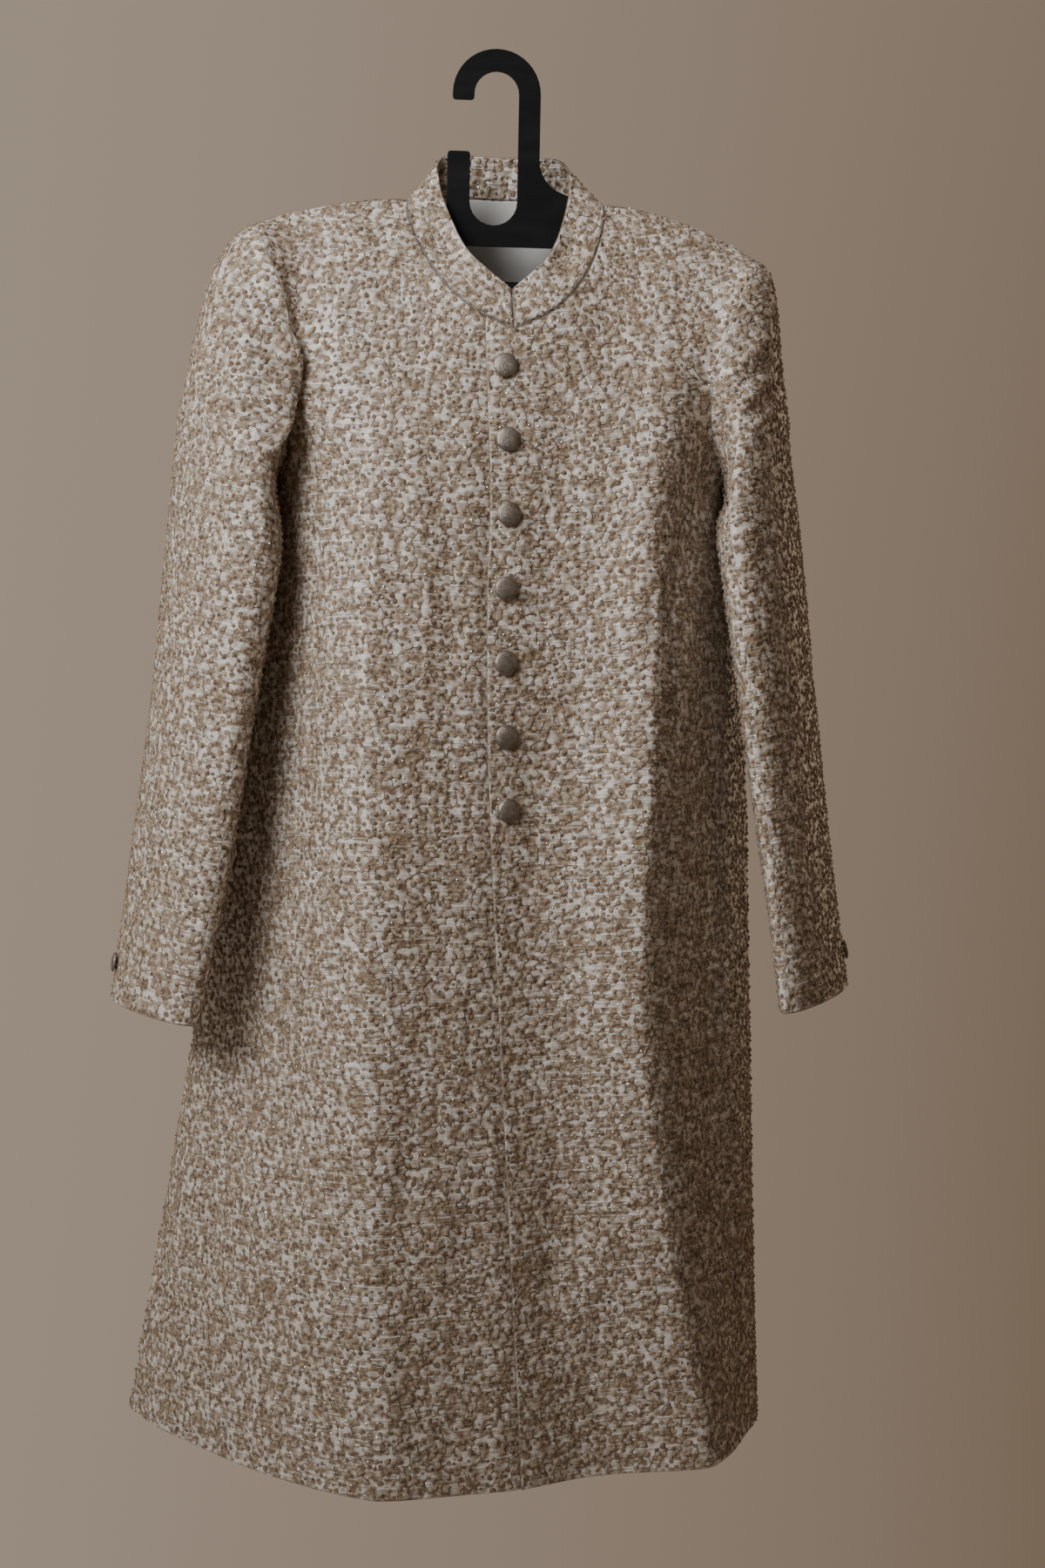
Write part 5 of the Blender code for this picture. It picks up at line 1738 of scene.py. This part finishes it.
def embroidery_tree():
    tree = bpy.data.node_groups.new("embroidery", "GeometryNodeTree")
    face = tree.interface
    for name, kind in EMBROIDERY_INPUTS:
        face.new_socket(name=name, in_out="INPUT", socket_type=kind)
    for name in THREAD_FINISHES:
        face.new_socket(name=name, in_out="INPUT", socket_type="NodeSocketObject")
        face.new_socket(name=name + " finish", in_out="INPUT", socket_type="NodeSocketMaterial")
    face.new_socket(name="Embroidery", in_out="OUTPUT", socket_type="NodeSocketGeometry")
    wires = Wiring(tree)
    given = {socket.name: Output(socket) for socket in tree.nodes.new("NodeGroupInput").outputs}
    columns, rows = given["Columns"], given["Rows"]
    sockets = {
        "Size X": (columns - 1.0) * given["Repeat width"], "Vertices X": columns,
        "Size Y": (rows - 1.0) * given["Repeat height"], "Vertices Y": rows,
    }
    frame_cloth = wires.node("GeometryNodeMeshGrid", None, sockets)
    sockets = {"Geometry": frame_cloth, "Offset": given["Middle"]}
    points = wires.node("GeometryNodeSetPosition", None, sockets)
    join = tree.nodes.new("GeometryNodeJoinGeometry")
    for name in THREAD_FINISHES:
        sockets = {"Object": given[name], "As Instance": True}
        stitched = wires.node("GeometryNodeObjectInfo", None, sockets, "Geometry")
        sockets = {"Points": points, "Instance": stitched}
        placed = wires.node("GeometryNodeInstanceOnPoints", None, sockets)
        placed = wires.node("GeometryNodeRealizeInstances", None, {"Geometry": placed})
        sockets = {"Geometry": placed, "Material": given[name + " finish"]}
        placed = wires.node("GeometryNodeSetMaterial", None, sockets)
        tree.links.new(placed.socket, join.inputs["Geometry"])
    here = wires.node("GeometryNodeInputPosition")
    apart = tree.nodes.new("ShaderNodeSeparateXYZ")
    feed(tree, apart.inputs[0], here)
    along, up, height = (Output(socket) for socket in apart.outputs)
    flat = wires.node("ShaderNodeCombineXYZ", None, {"X": along, "Y": up})
    vector = {"data_type": "FLOAT_VECTOR"}
    uv = wires.node("GeometryNodeInputNamedAttribute", vector, {"Name": "cut"})
    normal = wires.node("GeometryNodeInputNormal")
    looked_up = {}
    for name, field in (("place", here), ("normal", normal)):
        sockets = {"Mesh": given["Cloth"], "Value": field, "UV Map": uv, "Sample UV": flat}
        looked_up[name] = wires.node("GeometryNodeSampleUVSurface", vector, sockets)
    found = Output(looked_up["place"].socket.node.outputs["Is Valid"])
    sockets = {0: looked_up["normal"], "Scale": height}
    rise = wires.node("ShaderNodeVectorMath", {"operation": "SCALE"}, sockets)
    sockets = {0: looked_up["place"], 1: rise}
    seat = wires.node("ShaderNodeVectorMath", {"operation": "ADD"}, sockets)
    missed = wires.node("FunctionNodeBooleanMath", {"operation": "NOT"}, {0: found})
    on_frame = {"Geometry": Output(join.outputs[0]), "Selection": missed}
    kept = wires.node("GeometryNodeDeleteGeometry", None, on_frame)
    laid = wires.node("GeometryNodeSetPosition", None, {"Geometry": kept, "Position": seat})
    out = tree.nodes.new("NodeGroupOutput")
    tree.links.new(laid.socket, out.inputs[0])
    return tree


embroidery = embroidery_tree()
print("embroidery nodes:", len(embroidery.nodes))

# %% Lay the embroidery on each panel
PHASE = np.array((0.37, 0.61))       # of a repeat, between one panel and the next


def panel_surface(panel, turned=False):
    """A panel's outer layer alone, as a mesh object with its UV map."""
    rows, columns = panel.outer.shape[:2]
    quads = wall_faces(rows, columns)[0]
    surface = add_mesh("surface", panel.outer.reshape(-1, 3), quads)
    uv = panel.uv.reshape(-1, 2) * ((-1.0, 1.0) if turned else (1.0, 1.0))
    set_uv(surface.data, uv)
    normals = [Vector(normal) for normal in panel.normals.reshape(-1, 3)]
    faces = surface.data.polygons
    if sum(face.normal.dot(normals[face.vertices[0]]) for face in faces) < 0:
        surface.data.flip_normals()
    return surface, uv


def embroider(name, panel, phase, turned=False):
    """Embroidery over the whole of a panel."""
    surface, uv = panel_surface(panel, turned)
    corner = uv.min(axis=0) - phase * REPEAT
    columns, rows = np.ceil((uv.max(axis=0) - corner) / REPEAT).astype(int)
    values = {
        "Middle": (*(corner + REPEAT * (columns / 2, rows / 2)), 0.0),
        "Columns": int(columns),
        "Rows": int(rows),
        "Repeat width": float(REPEAT[0]),
        "Repeat height": float(REPEAT[1]),
    }
    for stitched, thread in THREAD_FINISHES.items():
        values[stitched] = repeat_parts[stitched]
        values[stitched + " finish"] = thread
    modifier = surface.modifiers.new("embroidery", "NODES")
    modifier.node_group = embroidery
    for socket in embroidery.interface.items_tree:
        if socket.in_out == "INPUT" and socket.name in values:
            modifier[socket.identifier] = values[socket.name]
    view = bpy.context.evaluated_depsgraph_get()
    data = bpy.data.meshes.new_from_object(surface.evaluated_get(view))
    bpy.data.objects.remove(surface)
    data.name = name
    piece = add_object(name, data)
    data.calc_loop_triangles()
    print(f"{name}: {len(data.loop_triangles)} triangles")
    return piece


embroidered = []
for number, (name, panel) in enumerate(panels.items()):
    if name == "lining_back":
        continue
    embroidered.append(embroider("embroidery_" + name, panel, number * PHASE % 1.0))
collar = panels["collar"]
inner = collar.outer - collar.normals * COLLAR_WALL
inside = collar._replace(outer=inner, normals=-collar.normals)
embroidered.append(embroider("embroidery_collar_inside", inside, PHASE, turned=True))
for piece in embroidered:
    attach(piece, "root")
for item in repeat_parts.values():
    bpy.data.objects.remove(item)

# %% [markdown]
# A cast button is a turned shape: a half profile spun round its axis. The
# Screw modifier does that, but a small loop over angles gives closed poles
# and needs no modifier to be applied. Each button sits on the silk where the
# solid one does, a fixed step in from the front's edge.

# %% The button's shape
BUTTON_RADIUS = 0.0109
BUTTON_HEIGHT = 0.0062
BUTTON_SIDES = 40
BUTTON_SHARP = 55        # degrees between faces, from which an edge stays sharp
BUTTON_PROFILE = (
    # radius, height, as shares of the button's own radius and height
    (0.00, 1.000), (0.18, 0.994), (0.36, 0.973), (0.54, 0.934), (0.70, 0.878),
    (0.81, 0.818), (0.88, 0.760), (0.93, 0.700), (0.965, 0.635), (0.99, 0.560),
    (1.00, 0.480), (1.00, 0.380), (0.97, 0.300), (0.90, 0.270), (0.30, 0.250),
    (0.27, 0.220), (0.27, 0.000), (0.00, 0.000),
)


def turned_mesh(name, profile, sides):
    """Spin a half profile round Z, with single points at its poles."""
    points = [(0.0, 0.0, profile[0][1])]
    for radius, height in profile[1:-1]:
        for k in range(sides):
            turn = 2 * math.pi * k / sides
            points.append((radius * math.cos(turn), radius * math.sin(turn), height))
    points.append((0.0, 0.0, profile[-1][1]))
    faces = []
    rings = len(profile) - 2
    for k in range(sides):
        following = (k + 1) % sides
        faces.append((0, 1 + k, 1 + following))
        for ring in range(rings - 1):
            a, b = 1 + ring * sides, 1 + (ring + 1) * sides
            faces.append((a + k, b + k, b + following, a + following))
        last = 1 + (rings - 1) * sides
        faces.append((last + following, last + k, len(points) - 1))
    data = bpy.data.meshes.new(name)
    data.from_pydata(points, [], faces)
    data.shade_smooth()
    data.set_sharp_from_angle(angle=math.radians(BUTTON_SHARP))
    return data


print("points of the button's profile:", len(BUTTON_PROFILE))

# %% Place the buttons
FIRST_BUTTON_Z = -0.2775
BUTTON_PITCH = 0.0661
BUTTON_COUNT = 7
BUTTON_FROM_EDGE = 0.0162
CUFF_BUTTON_SHARE = 0.85
CUFF_BUTTONS = {
    # side    y      z      looks along x
    "right": (0.026, -0.8130, 1.0),
    "left": (0.046, -0.8300, -1.0),
}


def place_button(name, seat, normal, share):
    """One button on the cloth, with its place in its mesh."""
    profile = [(r * BUTTON_RADIUS * share, h * BUTTON_HEIGHT * share) for r, h in BUTTON_PROFILE]
    data = turned_mesh(name, profile, BUTTON_SIDES)
    turn = normal.to_track_quat("Z", "Y").to_matrix().to_4x4()
    data.transform(Matrix.Translation(seat + normal * SEAM_GAP) @ turn)
    data.materials.append(metal)
    piece = add_object(name + "_turned", data)
    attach(piece, "root")
    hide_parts(name)


lap = panels["front_left"].outer
lap_tree = surface_tree(lap)
for number in range(BUTTON_COUNT):
    z = FIRST_BUTTON_Z - number * BUTTON_PITCH
    edge_x = np.interp(-z, -lap[:, 0, 2], lap[:, 0, 0])
    before = Vector((edge_x + BUTTON_FROM_EDGE, -1.0, z))
    seat, normal = lap_tree.ray_cast(before, Vector((0, 1, 0)))[:2]
    normal = normal if normal.y < 0 else -normal
    place_button(f"button_front_{number + 1}", seat, normal, 1.0)
for side, (y, z, direction) in CUFF_BUTTONS.items():
    pieces = [panels[f"sleeve_{side}_{piece}"].outer for piece in ("upper", "under")]
    beside = Vector((-direction, y, z))
    seat, normal = surface_tree(*pieces).ray_cast(beside, Vector((direction, 0, 0)))[:2]
    normal = normal if normal.x * direction < 0 else -normal
    place_button(f"button_cuff_{side}", seat, normal, CUFF_BUTTON_SHARE)
print("buttons:", BUTTON_COUNT + len(CUFF_BUTTONS))

# %% [markdown]
# The hanger is a moulded plate, and its solid already has its true outline.
# It stays as it is: a Weld joins its loose triangles and a Bevel breaks its
# sharp edges, as a mould does.

# %% The hanger
WELD_DISTANCE = 0.00002
EDGE_WIDTH = 0.0006
SHARP_ANGLE = 40         # degrees between faces, from which an edge is broken
hanger = frame["nodes"]["hanger"]
hanger.data.materials.clear()
hanger.data.materials.append(plastic)
weld = hanger.modifiers.new("weld", "WELD")
weld.merge_threshold = WELD_DISTANCE
bevel = hanger.modifiers.new("edges", "BEVEL")
bevel.width = EDGE_WIDTH
bevel.segments = 2
bevel.limit_method = "ANGLE"
bevel.angle_limit = math.radians(SHARP_ANGLE)
bevel.harden_normals = True
print("hanger finish:", plastic.name)

# %% [markdown]
# The room is plain: a pale floor under the coat, far enough down not to cut
# the view, and soft light. A large lamp to the coat's right and in front
# draws the folds, as a window would. A weak warm one from the other side keeps
# the shaded sleeve from going black, and one from behind lights its edge.

# %% Floor and light
FLOOR_Z = -1.80
FLOOR_RADIUS = 0.80
FLOOR_DARK = (0.62, 0.58, 0.53)
FLOOR_LIGHT = (0.68, 0.64, 0.59)
FLOOR_GRAIN = 30.0


def build_floor(wires):
    grain = wires.noise(in_space(wires), FLOOR_GRAIN, 3.0)
    return {"Base Color": wires.blend(grain, FLOOR_DARK, FLOOR_LIGHT)}


mesh = bmesh.new()
bmesh.ops.create_circle(mesh, cap_ends=True, segments=96, radius=FLOOR_RADIUS)
bmesh.ops.translate(mesh, verts=mesh.verts, vec=(0.0, 0.0, FLOOR_Z))
data = bpy.data.meshes.new("floor")
mesh.to_mesh(data)
mesh.free()
data.materials.append(finish("floor_paint", build_floor, Roughness=0.7))
floor = add_object("floor", data)

LAMPS = (
    # name    place                  aimed at               size        spread  watts  colour
    ("key", (-1.54, -1.72, 1.04), (0.0, 0.0, -0.14), (1.9, 1.7), 63.0, 13.2, (0.985, 0.99, 1.0)),
    ("fill", (1.70, -1.50, -0.50), (0.0, 0.0, -0.45), (1.6, 1.4), 180.0, 1.8, (1.0, 0.74, 0.52)),
    ("rim", (1.60, 1.20, -0.30), (0.1, 0.0, -0.65), (0.8, 1.6), 180.0, 6.0, (1.0, 0.78, 0.58)),
)
for name, place, aim, size, spread, watts, color in LAMPS:
    lamp = bpy.data.lights.new(name, "AREA")
    lamp.shape = "RECTANGLE"
    lamp.size, lamp.size_y = size
    lamp.energy = watts
    lamp.spread = math.radians(spread)
    lamp.color = color
    item = add_object(name, lamp)
    item.location = place
    item.rotation_euler = (Vector(place) - Vector(aim)).to_track_quat("Z", "Y").to_euler()
print("lamps:", len(LAMPS))

# %% [markdown]
# The walls of the room are the world: paler towards the lamp and up, browner
# and darker away from it, and dim on the camera's side, so that the coat's
# front is lit by the lamp and not by the walls.

# %% The walls
WALL_COLORS = (
    # share of the way towards the lamp, colour
    (0.00, (0.040, 0.022, 0.012)),
    (0.30, (0.165, 0.112, 0.072)),
    (0.37, (0.235, 0.178, 0.132)),
    (0.56, (0.345, 0.275, 0.215)),
    (1.00, (0.480, 0.410, 0.340)),
)
RISE_SHARE = 0.16        # how much up counts, against sideways
NEAR_WALL = 0.40         # brightness of the wall behind the camera
world = bpy.data.worlds.new("room")
world.use_nodes = True
wires = Wiring(world.node_tree)
direction = world.node_tree.nodes.new("ShaderNodeSeparateXYZ")
feed(world.node_tree, direction.inputs[0], wires.node("ShaderNodeTexCoord"))
side, depth, rise = (Output(socket) for socket in direction.outputs)
to_lamp = (rise * RISE_SHARE - side) * 0.5 + 0.5
walls = wires.node("ShaderNodeValToRGB", {"stops": WALL_COLORS}, {0: to_lamp})
background = world.node_tree.nodes["Background"]
feed(world.node_tree, background.inputs["Color"], walls)
strength = depth.between(-0.4, 0.6) * (1.0 - NEAR_WALL) + NEAR_WALL
feed(world.node_tree, background.inputs["Strength"], strength)
bpy.context.scene.world = world
print("wall colours:", len(WALL_COLORS))

# %% [markdown]
